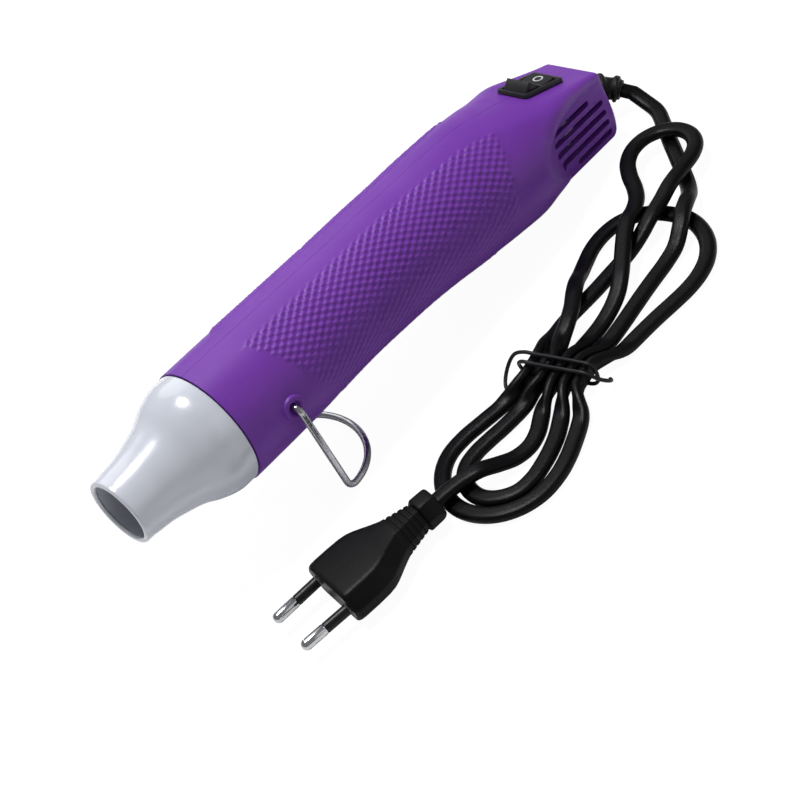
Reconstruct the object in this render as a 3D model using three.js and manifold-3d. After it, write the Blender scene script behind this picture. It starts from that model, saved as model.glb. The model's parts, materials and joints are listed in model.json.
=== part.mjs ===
// Embossing heat tool lying on a bench: its tail rests, and a wire stand holds the nozzle up.
// The tool is modelled with x from the nozzle's mouth to the rear, y away from the camera side, z up,
// in a group that is tilted and raised so that the tail and the stand meet the bench at z = 0.
import * as THREE from 'three';
import { mergeVertices } from 'three/addons/utils/BufferGeometryUtils.js';
import Module from 'manifold-3d';

const wasm = await Module();
wasm.setup();

// Clearances
const partGap = 0.3;
const looseGap = 0.45;
const overrun = 6;
const cordGap = 0.45;
const benchGap = 0.05;
const smoothStep = 1;

// Facets of the case and of what fits in it
const ringCount = 32;

// Case
const barrelRadius = 23;
const caseLength = 202.1;
const wall = 2.2;
const deckHeight = 4.4;
const deckSlope = THREE.MathUtils.degToRad(16.6);
const tailHalfWidth = 12.5;
const tailDrop = 24.4;
const tailLength = 46;
const rearBulge = 1.7;
const tailEdge = 1.2;
const barrelShares = [
  { along: 0, radius: 1, drop: 0 },
  { along: 0.085, radius: 1, drop: 0 },
  { along: 0.174, radius: 0.991, drop: 0 },
  { along: 0.243, radius: 0.972, drop: -0.017 },
  { along: 0.312, radius: 0.963, drop: -0.022 },
  { along: 0.382, radius: 0.97, drop: -0.013 },
  { along: 0.451, radius: 0.983, drop: 0 },
  { along: 0.52, radius: 1.004, drop: 0.035 },
  { along: 0.58, radius: 1.039, drop: 0.07 },
  { along: 0.64, radius: 1.065, drop: 0.109 },
  { along: 0.7, radius: 1.083, drop: 0.148 },
  { along: 0.758, radius: 1.083, drop: 0.187 },
  { along: 0.797, radius: 1.05, drop: 0.18 },
  { along: 0.822, radius: 1.045, drop: 0.155 },
  { along: 0.847, radius: 1.043, drop: 0.104 },
  { along: 0.871, radius: 1.022, drop: 0.026 },
  { along: 0.906, radius: 1, drop: 0 },
];
const rearShares = [[0, -0.012], [0.17, 0.17], [0.65, 1], [0.83, 0.88], [1, -0.59]];
const scoopAhead = 30;
const scoopDrop = 5;
const scoopRadius = 17;
const scoopSetback = 16;
const scoopGrowth = 2;
const scoopDepth = 11.5;
const ventTop = 3;
const ventPitch = 4.5;
const ventHeight = 2;
const ventEdge = 2.8;
const ventRearEdge = 2.1;
const ventRearSteps = [7.4, 0.4, 0.1, 0, 0];
const bossRadius = 3.4;
const pivotBossRadius = 4.2;
const pivotBossReach = 0.7;

// Nozzle
const nozzleReach = 42.6;
const mouthRadius = 13.1;
const nozzleStep = 0.4;
const nozzleWall = 1.6;
const rimWidth = 2.1;
const rimFlat = 0.7;
const rimRound = 0.9;
const sleeveDepth = 15.1;
const flangeStart = 8.4;
const flangeLength = 2.4;
const flangeRise = 1.1;
const flareShares = [[0.14, 0.042], [0.28, 0.116], [0.42, 0.263], [0.56, 0.453], [0.7, 0.768], [0.845, 0.979], [1, 1]];

// Wire stand
const standWire = 1.25;
const standLeg = 41.3;
const standAside = 3;
const standFootReach = 23;
const standElbow = 2.1;
const standCorner = 3;
const standPivotX = 62.4;
const standPinReach = 6.6;

// Case screws
const screwRadius = 1.4;
const screwHeadRadius = 2.6;
const screwHeadHeight = 2.2;
const screwSeat = 9;
const screwReach = 8;
const frontScrewShare = 0.713;
const frontScrewBack = 9;
const lowScrewAhead = 31;
const lowScrewDrop = 19.5;
const highScrewAhead = 45;
const highScrewHeight = 11.5;

// Heater
const micaTubeSetback = 1.1;
const micaTubeShare = 0.2855;
const micaTubeWall = 0.7;
const coilRoom = 5.45;
const plateThickness = 0.8;
const plateInset = 2;
const coilWire = 0.6;
const coilTurns = 6;
const coilInset = 5;
const coilReturn = 2.3;
const heaterBaseThickness = 2;
const airHoleRadius = 4.6;
const airHoleCircle = 10.5;
const thermostatSize = [4, 7, 9];
const thermostatDrop = 10;
const fuseRadius = 1.7;
const fuseLength = 9;
const fuseHeight = 9;

// Fan and motor
const fanSpaceShare = 0.0891;
const fanLength = 10;
const fanShare = 0.761;
const hubRadius = 7;
const bladeThickness = 1.2;
const bladeRoot = 1;
const bladeChord = 9;
const bladeCount = 7;
const bladePitch = THREE.MathUtils.degToRad(35);
const motorSpaceShare = 0.0297;
const motorRadius = 12;
const motorLength = 28;
const motorWall = 1;
const endCapThickness = 2;
const shaftRadius = 1;
const shaftNose = 15;
const shaftTail = 2.6;
const bushWall = 1;
const bushLength = 3;
const magnetWall = 2.4;
const magnetShare = 0.643;
const magnetStartShare = 0.143;
const magnetSpan = THREE.MathUtils.degToRad(130);
const airGap = 0.6;
const armatureShare = 0.571;
const armatureSlot = 3.2;
const commutatorRadius = 2.6;
const commutatorShare = 0.143;
const commutatorSpaceShare = 0.0536;
const brushWidth = 3;
const brushThickness = 0.8;
const mountLength = 4;
const mountRim = 1.6;
const mountCup = 1.5;
const mountCupShare = 0.571;
const mountSpoke = 2.5;
const leadNotch = 1.3;

// Rectifier board
const boardRadius = 10.5;
const boardThickness = 1.6;
const diodeRadius = 1.35;
const diodeLength = 5.2;
const diodeSpread = 5;
const diodeHeights = [2, -3];

// Switch
const switchAhead = 22.7;
const bezelLength = 21;
const bezelWidth = 15;
const bezelHeight = 1.5;
const bezelRound = 1.5;
const switchLength = 19;
const switchWidth = 12.6;
const switchDepth = 11;
const switchWall = 0.6;
const rockerRadius = 8.6;
const rockerPivotDrop = 1.2;
const rockerPinRadius = 1;
const rockerRest = THREE.MathUtils.degToRad(10);
const rockerTopRise = THREE.MathUtils.degToRad(26);
const rockerEndDrop = THREE.MathUtils.degToRad(18);
const rockerDish = 1.3;
const rockerKeel = 4;
const rockerBellyDrop = 2.8;
const switchCavity = 6.5;
const terminalLength = 6;
const terminalWidth = 4.8;
const terminalThickness = 0.8;
const terminalSpread = 5;

// Strain relief
const reliefDrop = 11;
const reliefHole = 5.2;
const reliefCollar = 7.2;
const reliefCollarLength = 3;
const reliefTip = 3.8;
const reliefTipReach = 13.8;
const reliefTipY = -7;
const reliefTipDrop = 14.35;
const reliefTipHeading = new THREE.Vector3(0.339, -0.87, -0.368).normalize();
const reliefLead = 6;
const reliefRibShares = [[0, 1.25], [0.11, 1.25], [0.13, 0.92], [0.3, 0.9], [0.44, 1.02], [0.5, 1.2], [0.56, 1.16], [0.6, 0.9]];
const reliefEndShares = [[0.78, 0.82], [0.86, 1], [0.93, 0.96], [0.95, 0.75], [1, 0.73]];

// Twin flat cord
const cordWidth = 6.2;
const cordThickness = 4;
const cordCorner = 0.9;
const wireRadius = 0.8;
const heaterLeadRadius = 0.7;
const coreSpread = 1.6;

// Cord clamp inside the tail
const clampAhead = 19;
const clampLength = 6;
const clampThickness = 2.6;
const clampHalfHeight = 7.5;
const clampScrewSpread = 5.4;
const clampScrewRadius = 1.2;
const clampScrewHead = 2.3;
const clampScrewHeadHeight = 1.6;
const clampScrewReach = 5;
const cordInsideShare = 0.0693;

// Hank of cord
const hankBack = 115;
const hankAside = 71;
const hankHeading = THREE.MathUtils.degToRad(8);
const edgeReach = 4;
const flatReach = 19;
const tieLift = 1.9;
const layerPitch = cordThickness + cordGap;
const hankStep = 4.4;
const leadSplit = 30;
const tailSplit = 24;

// Twist tie
const tieWire = 0.7;

// Plug
const plugHeight = 13.7;
const plugWidth = 30;
const plugLength = 45;
const plugHeading = THREE.MathUtils.degToRad(-12);
const plugBeforeTie = 107.4;
const plugInward = 14.2;
const pinRadius = 2;
const pinLength = 19;
const pinSpacing = 18.6;
const pinToe = THREE.MathUtils.degToRad(1.66);
const pinCore = 1.2;
const sleeveLength = 9.4;
const sleeveRadius = 1.95;

// Where things follow from the sizes above
const caseStart = nozzleReach + partGap;
const rearX = caseStart + caseLength;
const nozzleSleeve = barrelRadius - wall - looseGap;
const nozzleBase = barrelRadius - nozzleStep;
const standHalfWidth = barrelRadius + standAside;
const frontScrewHeight = barrelRadius * frontScrewShare;
const micaTubeLength = caseLength * micaTubeShare;
const micaTubeOuter = nozzleSleeve - nozzleWall - partGap;
const plateHalfWidth = micaTubeOuter - micaTubeWall - coilRoom;
const fanSpace = caseLength * fanSpaceShare;
const fanRadius = barrelRadius * fanShare;
const motorSpace = caseLength * motorSpaceShare;
const magnetLength = motorLength * magnetShare;
const magnetStart = motorLength * magnetStartShare;
const armatureLength = motorLength * armatureShare;
const commutatorLength = motorLength * commutatorShare;
const commutatorSpace = motorLength * commutatorSpaceShare;
const mountCupLength = motorLength * mountCupShare;
const cordInsideLength = caseLength * cordInsideShare;
const tiePlace = new THREE.Vector3(rearX - hankBack, -hankAside, 0);
const plugFront = new THREE.Vector3(tiePlace.x - plugBeforeTie, plugInward - hankAside, 0);
const deckZ = (x) => deckHeight + (rearX - x) * Math.tan(deckSlope);
const tailCornerX = rearX - rearBulge * 0.59;
const standSpan = Math.hypot(tailCornerX - standPivotX, tailDrop);
const standHeight = standLeg + standWire;
const tilt = Math.asin(standHeight / standSpan) - Math.atan2(tailDrop, tailCornerX - standPivotX);
const axisHeight = standHeight + standPivotX * Math.sin(tilt);

// Colours from the photograph
const purple = { color: 0x6c3a92, roughness: 0.42, metalness: 0 };
const white = { color: 0xd9dbe4, roughness: 0.25, metalness: 0.1 };
const black = { color: 0x1d1c20, roughness: 0.55, metalness: 0 };
const steel = { color: 0xb9bcc2, roughness: 0.25, metalness: 1 };
const brass = { color: 0xc9a65a, roughness: 0.35, metalness: 1 };
const copper = { color: 0xb06a3c, roughness: 0.4, metalness: 1 };
const mica = { color: 0xcdb98e, roughness: 0.6, metalness: 0 };
const darkIron = { color: 0x55565a, roughness: 0.5, metalness: 0.8 };
const boardGreen = { color: 0x2f5d3a, roughness: 0.6, metalness: 0 };
const nylon = { color: 0xe3e0d8, roughness: 0.5, metalness: 0 };
const red = { color: 0xa8322c, roughness: 0.5, metalness: 0 };
const blue = { color: 0x2c4fa0, roughness: 0.5, metalness: 0 };

// Solids: a closed geometry becomes a solid that can be cut and joined, and goes back to a mesh
function solid(geometry) {
  const bare = geometry.clone();
  bare.deleteAttribute('normal');
  bare.deleteAttribute('uv');
  const merged = mergeVertices(bare);
  const places = merged.attributes.position.array;
  const corners = [];
  const index = merged.index.array;
  for (let i = 0; i < index.length; i += 3) {
    const [a, b, c] = [index[i], index[i + 1], index[i + 2]];
    if (a !== b && b !== c && c !== a) corners.push(a, b, c);
  }
  return new wasm.Manifold(new wasm.Mesh({
    numProp: 3,
    vertProperties: Float32Array.from(places),
    triVerts: Uint32Array.from(corners),
  }));
}

function geometryOf(shape) {
  const mesh = shape.getMesh();
  const geometry = new THREE.BufferGeometry();
  geometry.setAttribute('position', new THREE.BufferAttribute(mesh.vertProperties, 3));
  geometry.setIndex(new THREE.BufferAttribute(mesh.triVerts, 1));
  geometry.computeVertexNormals();
  return geometry;
}

function add(parent, name, shape, look) {
  const geometry = shape.isBufferGeometry ? shape : geometryOf(shape);
  const mesh = new THREE.Mesh(geometry, new THREE.MeshStandardMaterial(look));
  mesh.name = name;
  parent.add(mesh);
  return mesh;
}

// A turned shape round the x axis, from a closed outline of [radius, x]
function turned(outline, segments = 24) {
  const points = outline.map(([radius, x]) => new THREE.Vector2(radius, x));
  points.push(points[0].clone());
  return solid(new THREE.LatheGeometry(points, segments).rotateZ(-Math.PI / 2));
}

// A rod or ring along x, with an optional bore
function rod(start, end, radius, segments = 24) {
  const length = end - start;
  return solid(new THREE.CylinderGeometry(radius, radius, length, segments)
    .rotateZ(-Math.PI / 2).translate(start + length / 2, 0, 0));
}

function tubeAlongX(start, end, inner, outer, segments = 24) {
  return turned([[inner, start], [outer, start], [outer, end], [inner, end]], segments);
}

// A rod along y at x, z
function crossRod(x, z, start, end, radius, segments = 16) {
  const length = end - start;
  return solid(new THREE.CylinderGeometry(radius, radius, length, segments).translate(x, start + length / 2, z));
}

function box(low, high) {
  const size = high.map((value, i) => value - low[i]);
  return solid(new THREE.BoxGeometry(...size).translate(...low.map((value, i) => value + size[i] / 2)));
}

// An outline in x and z, pushed out along y to both sides
function slab(outline, halfWidth, bevel = 0) {
  const shape = new THREE.Shape(outline.map(([x, z]) => new THREE.Vector2(x, z)));
  const depth = 2 * (halfWidth - bevel);
  const settings = { depth, bevelEnabled: bevel > 0, bevelThickness: bevel, bevelSize: bevel };
  const geometry = new THREE.ExtrudeGeometry(shape, { ...settings, bevelOffset: -bevel, bevelSegments: 2 });
  return solid(geometry.translate(0, 0, -depth / 2).rotateX(Math.PI / 2));
}

// A skin over rings of points, each ring running right-handed about the way from first to last
function loft(rings) {
  const places = rings.flat();
  const count = rings[0].length;
  const corners = [];
  rings.slice(1).forEach((ring, i) => {
    for (let k = 0; k < count; k += 1) {
      const next = (k + 1) % count;
      const [a, b] = [i * count + k, i * count + next];
      corners.push(a, b, b + count, a, b + count, a + count);
    }
  });
  const last = (rings.length - 1) * count;
  const middles = [rings[0], rings.at(-1)].map((ring) => (
    ring.reduce((sum, place) => sum.add(place), new THREE.Vector3()).divideScalar(count)));
  places.push(...middles);
  for (let k = 0; k < count; k += 1) {
    const next = (k + 1) % count;
    corners.push(places.length - 2, next, k);
    corners.push(places.length - 1, last + k, last + next);
  }
  const geometry = new THREE.BufferGeometry().setFromPoints(places);
  geometry.setIndex(corners);
  return solid(geometry);
}

function ringAt(middle, radius, across, up, count) {
  return Array.from({ length: count }, (_, k) => {
    const angle = 2 * Math.PI * k / count;
    return middle.clone()
      .addScaledVector(across, radius * Math.cos(angle))
      .addScaledVector(up, radius * Math.sin(angle));
  });
}

// A path for ExtrudeGeometry with a frame of its own at each place
class Route extends THREE.Curve {
  constructor(places, sides, ups) {
    super();
    Object.assign(this, { places, sides, ups });
  }

  getPoint(share, target = new THREE.Vector3()) {
    return target.copy(this.places[Math.round(share * (this.places.length - 1))]);
  }

  getSpacedPoints() {
    return this.places;
  }

  computeFrenetFrames() {
    return { tangents: this.places, normals: this.sides, binormals: this.ups };
  }
}

function headings(places) {
  return places.map((place, i) => {
    const before = places[Math.max(0, i - 1)];
    const after = places[Math.min(places.length - 1, i + 1)];
    return after.clone().sub(before).normalize();
  });
}

function sweep(section, places, sides, ups) {
  const shape = new THREE.Shape(section.map(([across, up]) => new THREE.Vector2(across, up)));
  const extrudePath = new Route(places, sides, ups);
  return new THREE.ExtrudeGeometry(shape, { steps: places.length - 1, extrudePath });
}

function polygon(radius, count) {
  return Array.from({ length: count }, (_, k) => {
    const angle = 2 * Math.PI * k / count;
    return [radius * Math.cos(angle), radius * Math.sin(angle)];
  });
}

// A round wire through places, its frame carried on from one place to the next
function wire(places, radius, count, firstSide) {
  const ways = headings(places);
  const sides = [];
  let side = firstSide;
  for (const way of ways) {
    side = side.clone().addScaledVector(way, -side.dot(way)).normalize();
    sides.push(side);
  }
  const ups = ways.map((way, i) => way.clone().cross(sides[i]));
  return sweep(polygon(radius, count), places, sides, ups);
}

function smoothPlaces(places, step) {
  const curve = new THREE.CatmullRomCurve3(places, false, 'centripetal');
  return curve.getSpacedPoints(Math.ceil(curve.getLength() / step));
}

// A wire whose ends run straight and square to what they meet
function squareWire(start, startWay, middles, endWay, end, radius) {
  const straight = 2 * radius;
  const first = start.clone().addScaledVector(startWay, straight);
  const last = end.clone().addScaledVector(endWay, straight);
  const lead = first.clone().addScaledVector(startWay, straight);
  const tail = last.clone().addScaledVector(endWay, straight);
  const free = smoothPlaces([first, lead, ...middles, tail, last], 5 * radius);
  return wire([start, ...free, end], radius, 6, alongY);
}

const alongX = new THREE.Vector3(1, 0, 0);
const alongY = new THREE.Vector3(0, 1, 0);
const alongZ = new THREE.Vector3(0, 0, 1);

// The barrel's section at x: its radius and how far its middle lies below the axis
function barrelAt(x) {
  const along = THREE.MathUtils.clamp((x - caseStart) / caseLength, 0, barrelShares.at(-1).along);
  const next = Math.max(1, barrelShares.findIndex((station) => station.along >= along));
  const [a, b] = [barrelShares[next - 1], barrelShares[next]];
  const share = (along - a.along) / (b.along - a.along);
  return {
    radius: barrelRadius * THREE.MathUtils.lerp(a.radius, b.radius, share),
    drop: barrelRadius * THREE.MathUtils.lerp(a.drop, b.drop, share),
  };
}

function barrel(inset, before) {
  const stations = barrelShares.map((station) => caseStart + station.along * caseLength);
  stations[0] -= before;
  const rings = stations.map((x) => {
    const { radius, drop } = barrelAt(x);
    return ringAt(new THREE.Vector3(x, 0, -drop), radius - inset, alongY, alongZ, ringCount);
  });
  return loft(rings);
}

// The tail block: its rear face bulges a little, and its top lies under the deck
function tailBlock(inset) {
  const start = rearX - tailLength;
  const rear = rearShares.map(([down, out]) => [
    rearX + rearBulge * out - inset,
    THREE.MathUtils.lerp(deckHeight, -tailDrop + inset, down),
  ]);
  const outline = [
    [start, -tailDrop + inset],
    ...rear.reverse(),
    [rearX - inset, deckHeight + overrun],
    [start, deckZ(start) + overrun],
  ];
  return slab(outline, tailHalfWidth - inset, inset > 0 ? 0 : tailEdge);
}

// The hollow that is scooped from each side of the barrel behind a round, slanted rim
function scoop(side, growth) {
  const rings = [-1.6, 0.05].map((share) => {
    const across = tailHalfWidth - growth - share * scoopDepth;
    const middleX = rearX - scoopAhead + scoopSetback * (1 + share);
    const radius = scoopRadius + scoopGrowth * (1 + share) + growth;
    const arc = Array.from({ length: 11 }, (_, k) => {
      const angle = Math.PI / 2 + Math.PI * k / 10;
      return [middleX + radius * Math.cos(angle), radius * Math.sin(angle) - scoopDrop];
    });
    const far = rearX + overrun;
    const outline = [[middleX, barrelRadius * 2], ...arc, [middleX, -barrelRadius * 2]];
    outline.push([far, -barrelRadius * 2], [far, barrelRadius * 2]);
    return outline.map(([x, z]) => new THREE.Vector3(x, side * across, z));
  });
  return loft(side > 0 ? rings : rings.map((ring) => ring.reverse()));
}

function belowDeck(shape, inset) {
  const size = 8 * barrelRadius;
  const cutter = new THREE.BoxGeometry(size, size, size)
    .translate(0, 0, size / 2 - inset)
    .rotateY(deckSlope)
    .translate(rearX, 0, deckHeight);
  return shape.subtract(solid(cutter));
}

function caseSolid(inset, before) {
  const body = barrel(inset, before).subtract(scoop(-1, inset)).subtract(scoop(1, inset));
  return belowDeck(body.add(tailBlock(inset)), inset);
}

// Vent slots: each starts behind the slanted wall and ends before the rear face
function vents() {
  const slots = ventRearSteps.map((step, i) => {
    const z = -ventTop - i * ventPitch;
    const radius = scoopRadius + scoopGrowth;
    const fall = Math.abs(z + scoopDrop);
    const start = rearX - scoopAhead + scoopSetback - Math.sqrt(radius ** 2 - fall ** 2) + ventEdge;
    const end = rearX - ventRearEdge - step;
    const half = ventHeight / 2;
    const shape = new THREE.Shape();
    shape.absarc(start + half, z, half, Math.PI / 2, 1.5 * Math.PI);
    shape.absarc(end - half, z, half, -Math.PI / 2, Math.PI / 2);
    const depth = 2 * (tailHalfWidth + overrun);
    return solid(new THREE.ExtrudeGeometry(shape, { depth, bevelEnabled: false, curveSegments: 3 })
      .translate(0, 0, -depth / 2).rotateX(Math.PI / 2));
  });
  const gutter = box(
    [0, -tailHalfWidth + wall * 2, -barrelRadius * 2],
    [rearX + overrun, tailHalfWidth - wall * 2, barrelRadius * 2],
  );
  return slots.reduce((all, slot) => all.add(slot)).subtract(gutter);
}

// Places of the case screws as [x, z]
const micaTubeStart = caseStart + micaTubeSetback;
const micaTubeEnd = micaTubeStart + micaTubeLength;
const heaterBaseStart = micaTubeEnd + partGap;
const heaterBaseEnd = heaterBaseStart + heaterBaseThickness;
const fanStart = heaterBaseEnd + fanSpace;
const motorStart = fanStart + fanLength + motorSpace;
const motorEnd = motorStart + motorLength;
const screwPlaces = [
  [heaterBaseEnd + frontScrewBack, frontScrewHeight],
  [heaterBaseEnd + frontScrewBack, -frontScrewHeight],
  [rearX - lowScrewAhead, -lowScrewDrop],
  [rearX - highScrewAhead, highScrewHeight],
];

// The deck's frame: x down the slope to the rear, z out of the deck
const switchX = rearX - switchAhead;
function onDeck(x, z) {
  return new THREE.Vector3(
    switchX + x * Math.cos(deckSlope) + z * Math.sin(deckSlope),
    0,
    deckZ(switchX) - x * Math.sin(deckSlope) + z * Math.cos(deckSlope),
  );
}

function toDeck(geometry) {
  return solid(geometry.rotateY(deckSlope).translate(switchX, 0, deckZ(switchX)));
}

// Case halves
const clampX = rearX - clampAhead;
function caseWhole() {
  const flangeX = caseStart + flangeStart;
  const grooveRadius = nozzleSleeve + flangeRise + partGap;
  const groove = rod(flangeX - partGap, flangeX + flangeLength + partGap, grooveRadius, ringCount);
  const midWall = caseSolid(wall / 2, 0);
  let body = caseSolid(0, 0).subtract(caseSolid(wall, overrun)).subtract(groove);
  for (const [x, z] of screwPlaces) {
    const boss = crossRod(x, z, -2 * barrelRadius, 2 * barrelRadius, bossRadius, 12);
    body = body.add(boss.intersect(midWall));
  }
  const post = box(
    [clampX, cordThickness / 2 + partGap, -reliefDrop - clampHalfHeight - partGap],
    [clampX + clampLength, tailHalfWidth - partGap, -reliefDrop + clampHalfHeight + partGap],
  );
  body = body.add(post);
  for (const side of [-1, 1]) {
    const face = side * (barrelRadius + pivotBossReach);
    const root = side * (barrelRadius - wall);
    const ends = [Math.min(face, root), Math.max(face, root)];
    body = body.add(crossRod(standPivotX, 0, ...ends, pivotBossRadius, 20));
  }
  return body;
}

function caseCuts() {
  const pivotHole = crossRod(standPivotX, 0, -2 * barrelRadius, 2 * barrelRadius, standWire + partGap);
  const tailRoom = new THREE.BoxGeometry(
    switchLength + 2 * partGap,
    switchWidth + 2 * partGap,
    switchDepth + overrun,
  ).translate(0, 0, overrun / 2 - switchDepth / 2);
  const reliefBore = rod(rearX - tailLength, rearX + overrun, reliefHole + partGap, 16)
    .translate([0, 0, -reliefDrop]);
  const reliefBoreKept = reliefBore.intersect(box(
    [rearX - wall * 2, -tailHalfWidth, -tailDrop],
    [rearX + overrun, tailHalfWidth, deckHeight],
  ));
  let cuts = pivotHole.add(toDeck(tailRoom)).add(reliefBoreKept).add(vents());
  for (const [x, z] of screwPlaces) {
    cuts = cuts.add(crossRod(x, z, -screwReach - looseGap, screwSeat + overrun, screwRadius + partGap, 12));
    cuts = cuts.add(crossRod(x, z, screwSeat, 2 * barrelRadius, screwHeadRadius + partGap, 12));
  }
  for (const up of [-1, 1]) {
    const z = -reliefDrop + up * clampScrewSpread;
    cuts = cuts.add(crossRod(clampX + clampLength / 2, z, 0, clampScrewReach + looseGap, clampScrewRadius + partGap, 12));
  }
  return cuts;
}

function half(body, side) {
  const far = 3 * barrelRadius;
  const near = side * partGap / 2;
  const low = [-overrun, Math.min(near, side * far), -far];
  const high = [rearX + far, Math.max(near, side * far), far];
  return body.intersect(box(low, high));
}

function makeCase(tool) {
  const body = caseWhole().subtract(caseCuts());
  add(tool, 'left_shell', half(body, -1), purple);
  add(tool, 'right_shell', half(body, 1), purple);
  screwPlaces.forEach(([x, z], i) => {
    const shank = crossRod(x, z, -screwReach, screwSeat + screwHeadHeight / 2, screwRadius, 12);
    const head = crossRod(x, z, screwSeat + partGap, screwSeat + partGap + screwHeadHeight, screwHeadRadius, 12);
    add(tool, `case_screw_${i + 1}`, shank.add(head), steel);
  });
}

// Nozzle: a flared tube with a rolled rim, a shoulder at the case and a sleeve with a flange inside it
function makeNozzle(tool) {
  const bore = mouthRadius - rimWidth;
  const flangeX = caseStart + flangeStart;
  const grow = nozzleBase - mouthRadius;
  const flare = flareShares.map(([along, share]) => [mouthRadius + grow * share, nozzleReach * along]);
  const flatMiddle = mouthRadius - rimWidth / 2;
  const outside = [
    [flatMiddle - rimFlat / 2, 0],
    [flatMiddle + rimFlat / 2, 0],
    [mouthRadius, rimRound],
    ...flare,
    [nozzleSleeve, nozzleReach],
    [nozzleSleeve, flangeX],
    [nozzleSleeve + flangeRise, flangeX],
    [nozzleSleeve + flangeRise, flangeX + flangeLength],
    [nozzleSleeve, flangeX + flangeLength],
    [nozzleSleeve, caseStart + sleeveDepth],
  ];
  const inside = [
    [nozzleSleeve - nozzleWall, caseStart + sleeveDepth],
    [nozzleSleeve - nozzleWall, nozzleReach - nozzleWall],
    ...flare.slice(0, -1).reverse().map(([radius, x]) => [Math.min(radius, nozzleBase) - nozzleWall, x]),
    [bore, rimRound],
  ];
  add(tool, 'nozzle', turned([...outside, ...inside], ringCount), white);
}

// Stand: a sprung wire, its ends turned into the case and its foot a flat bow on the bench
function makeStand(bench) {
  const stand = new THREE.Group();
  stand.position.set(standPivotX * Math.cos(tilt), 0, standHeight);
  bench.add(stand);
  const [elbow, corner] = [standElbow, standCorner];
  const bend = (middle, from, to, radius) => Array.from({ length: 5 }, (_, k) => {
    const angle = Math.PI / 2 * k / 4;
    return middle.clone()
      .addScaledVector(from, radius * Math.cos(angle))
      .addScaledVector(to, radius * Math.sin(angle));
  });
  const [halfWidth, leg] = [standHalfWidth, standLeg];
  const down = alongZ.clone().negate();
  const near = alongY.clone().negate();
  const back = alongX.clone().negate();
  const leftSide = [
    new THREE.Vector3(0, -halfWidth + standPinReach, 0),
    ...bend(new THREE.Vector3(0, elbow - halfWidth, -elbow), alongZ, near, elbow),
    ...bend(new THREE.Vector3(corner, -halfWidth, corner - leg), back, down, corner),
  ];
  const bowReach = standFootReach - corner;
  const bow = Array.from({ length: 17 }, (_, k) => {
    const angle = Math.PI * (k + 1) / 18 - Math.PI / 2;
    return new THREE.Vector3(corner + bowReach * Math.cos(angle), halfWidth * Math.sin(angle), -leg);
  });
  const rightSide = leftSide.map((place) => place.clone().setY(-place.y)).reverse();
  const places = [...leftSide, ...bow, ...rightSide];
  add(stand, 'stand_wire', wire(places, standWire, 8, alongX), steel);
}

// Heater: two crossed mica plates with a coil round them, in a mica tube on a base disc
function makeHeater(tool) {
  const tubeInner = micaTubeOuter - micaTubeWall;
  add(tool, 'mica_tube', tubeAlongX(micaTubeStart, micaTubeEnd, tubeInner, micaTubeOuter, ringCount), mica);

  const plateStart = micaTubeStart + plateInset;
  const middle = (plateStart + micaTubeEnd) / 2;
  const slot = plateThickness / 2 + partGap;
  const halfThick = plateThickness / 2;
  const upright = box([plateStart, -halfThick, -plateHalfWidth], [micaTubeEnd, halfThick, plateHalfWidth]);
  const rearSlot = box([middle - partGap / 2, -overrun, -slot], [micaTubeEnd + overrun, overrun, slot]);
  add(tool, 'mica_plate_a', upright.subtract(rearSlot), mica);
  const flat = box([plateStart, -plateHalfWidth, -halfThick], [micaTubeEnd, plateHalfWidth, halfThick]);
  const frontSlot = box([plateStart - overrun, -slot, -overrun], [middle + partGap / 2, slot, overrun]);
  add(tool, 'mica_plate_b', flat.subtract(frontSlot), mica);

  const radius = plateHalfWidth + 2 * partGap + coilWire;
  const coilStart = micaTubeEnd - coilInset;
  const coilEnd = plateStart + coilInset;
  const at = (x, r, angle) => new THREE.Vector3(x, r * Math.cos(angle), r * Math.sin(angle));
  const count = coilTurns * 16;
  const turn = Math.PI / 4;
  const places = [at(micaTubeEnd - partGap, radius, turn), at(micaTubeEnd - coilInset / 2, radius, turn)];
  for (let k = 0; k <= count; k += 1) {
    const share = k / count;
    places.push(at(THREE.MathUtils.lerp(coilStart, coilEnd, share), radius, turn + 2 * Math.PI * coilTurns * share));
  }
  const backRadius = radius + coilReturn;
  const last = turn + 0.5;
  places.push(at(coilEnd - coilReturn / 2, radius + coilReturn / 2, last - 0.12));
  places.push(at(coilEnd, backRadius, last));
  places.push(at(middle, backRadius, last));
  places.push(at(micaTubeEnd - partGap, backRadius, last));
  add(tool, 'heater_coil', wire(places, coilWire, 5, alongY), darkIron);

  const { radius: caseRadius, drop } = barrelAt(heaterBaseEnd);
  let base = rod(heaterBaseStart, heaterBaseEnd, caseRadius - wall - looseGap, ringCount).translate([0, 0, -drop]);
  for (let k = 0; k < 4; k += 1) {
    const angle = Math.PI / 4 + Math.PI / 2 * k;
    const hole = rod(heaterBaseStart - overrun, heaterBaseEnd + overrun, airHoleRadius, 16);
    base = base.subtract(hole.translate([0, airHoleCircle * Math.cos(angle + 0.35), airHoleCircle * Math.sin(angle + 0.35)]));
  }
  add(tool, 'heater_base', base, mica);

  const [depth, width, height] = thermostatSize;
  const rear = heaterBaseEnd + partGap;
  const thermostat = new THREE.BoxGeometry(depth, width, height).translate(rear + depth / 2, 0, -thermostatDrop);
  add(tool, 'thermostat', thermostat, nylon);
  const fuse = crossRod(rear + fuseRadius, fuseHeight, -fuseLength / 2, fuseLength / 2, fuseRadius, 12);
  add(tool, 'thermal_fuse', fuse, brass);
}

// An outline in y and z, pushed along x
function pushedAlongX(shape, start, length, curveSegments = 12) {
  const geometry = new THREE.ExtrudeGeometry(shape, { depth: length, bevelEnabled: false, curveSegments });
  return solid(geometry.rotateZ(Math.PI / 2).rotateY(Math.PI / 2).translate(start, 0, 0));
}

const leadAngles = [Math.PI / 6, 5 * Math.PI / 6];
const leadCircle = fanRadius + looseGap + heaterLeadRadius;

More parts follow.
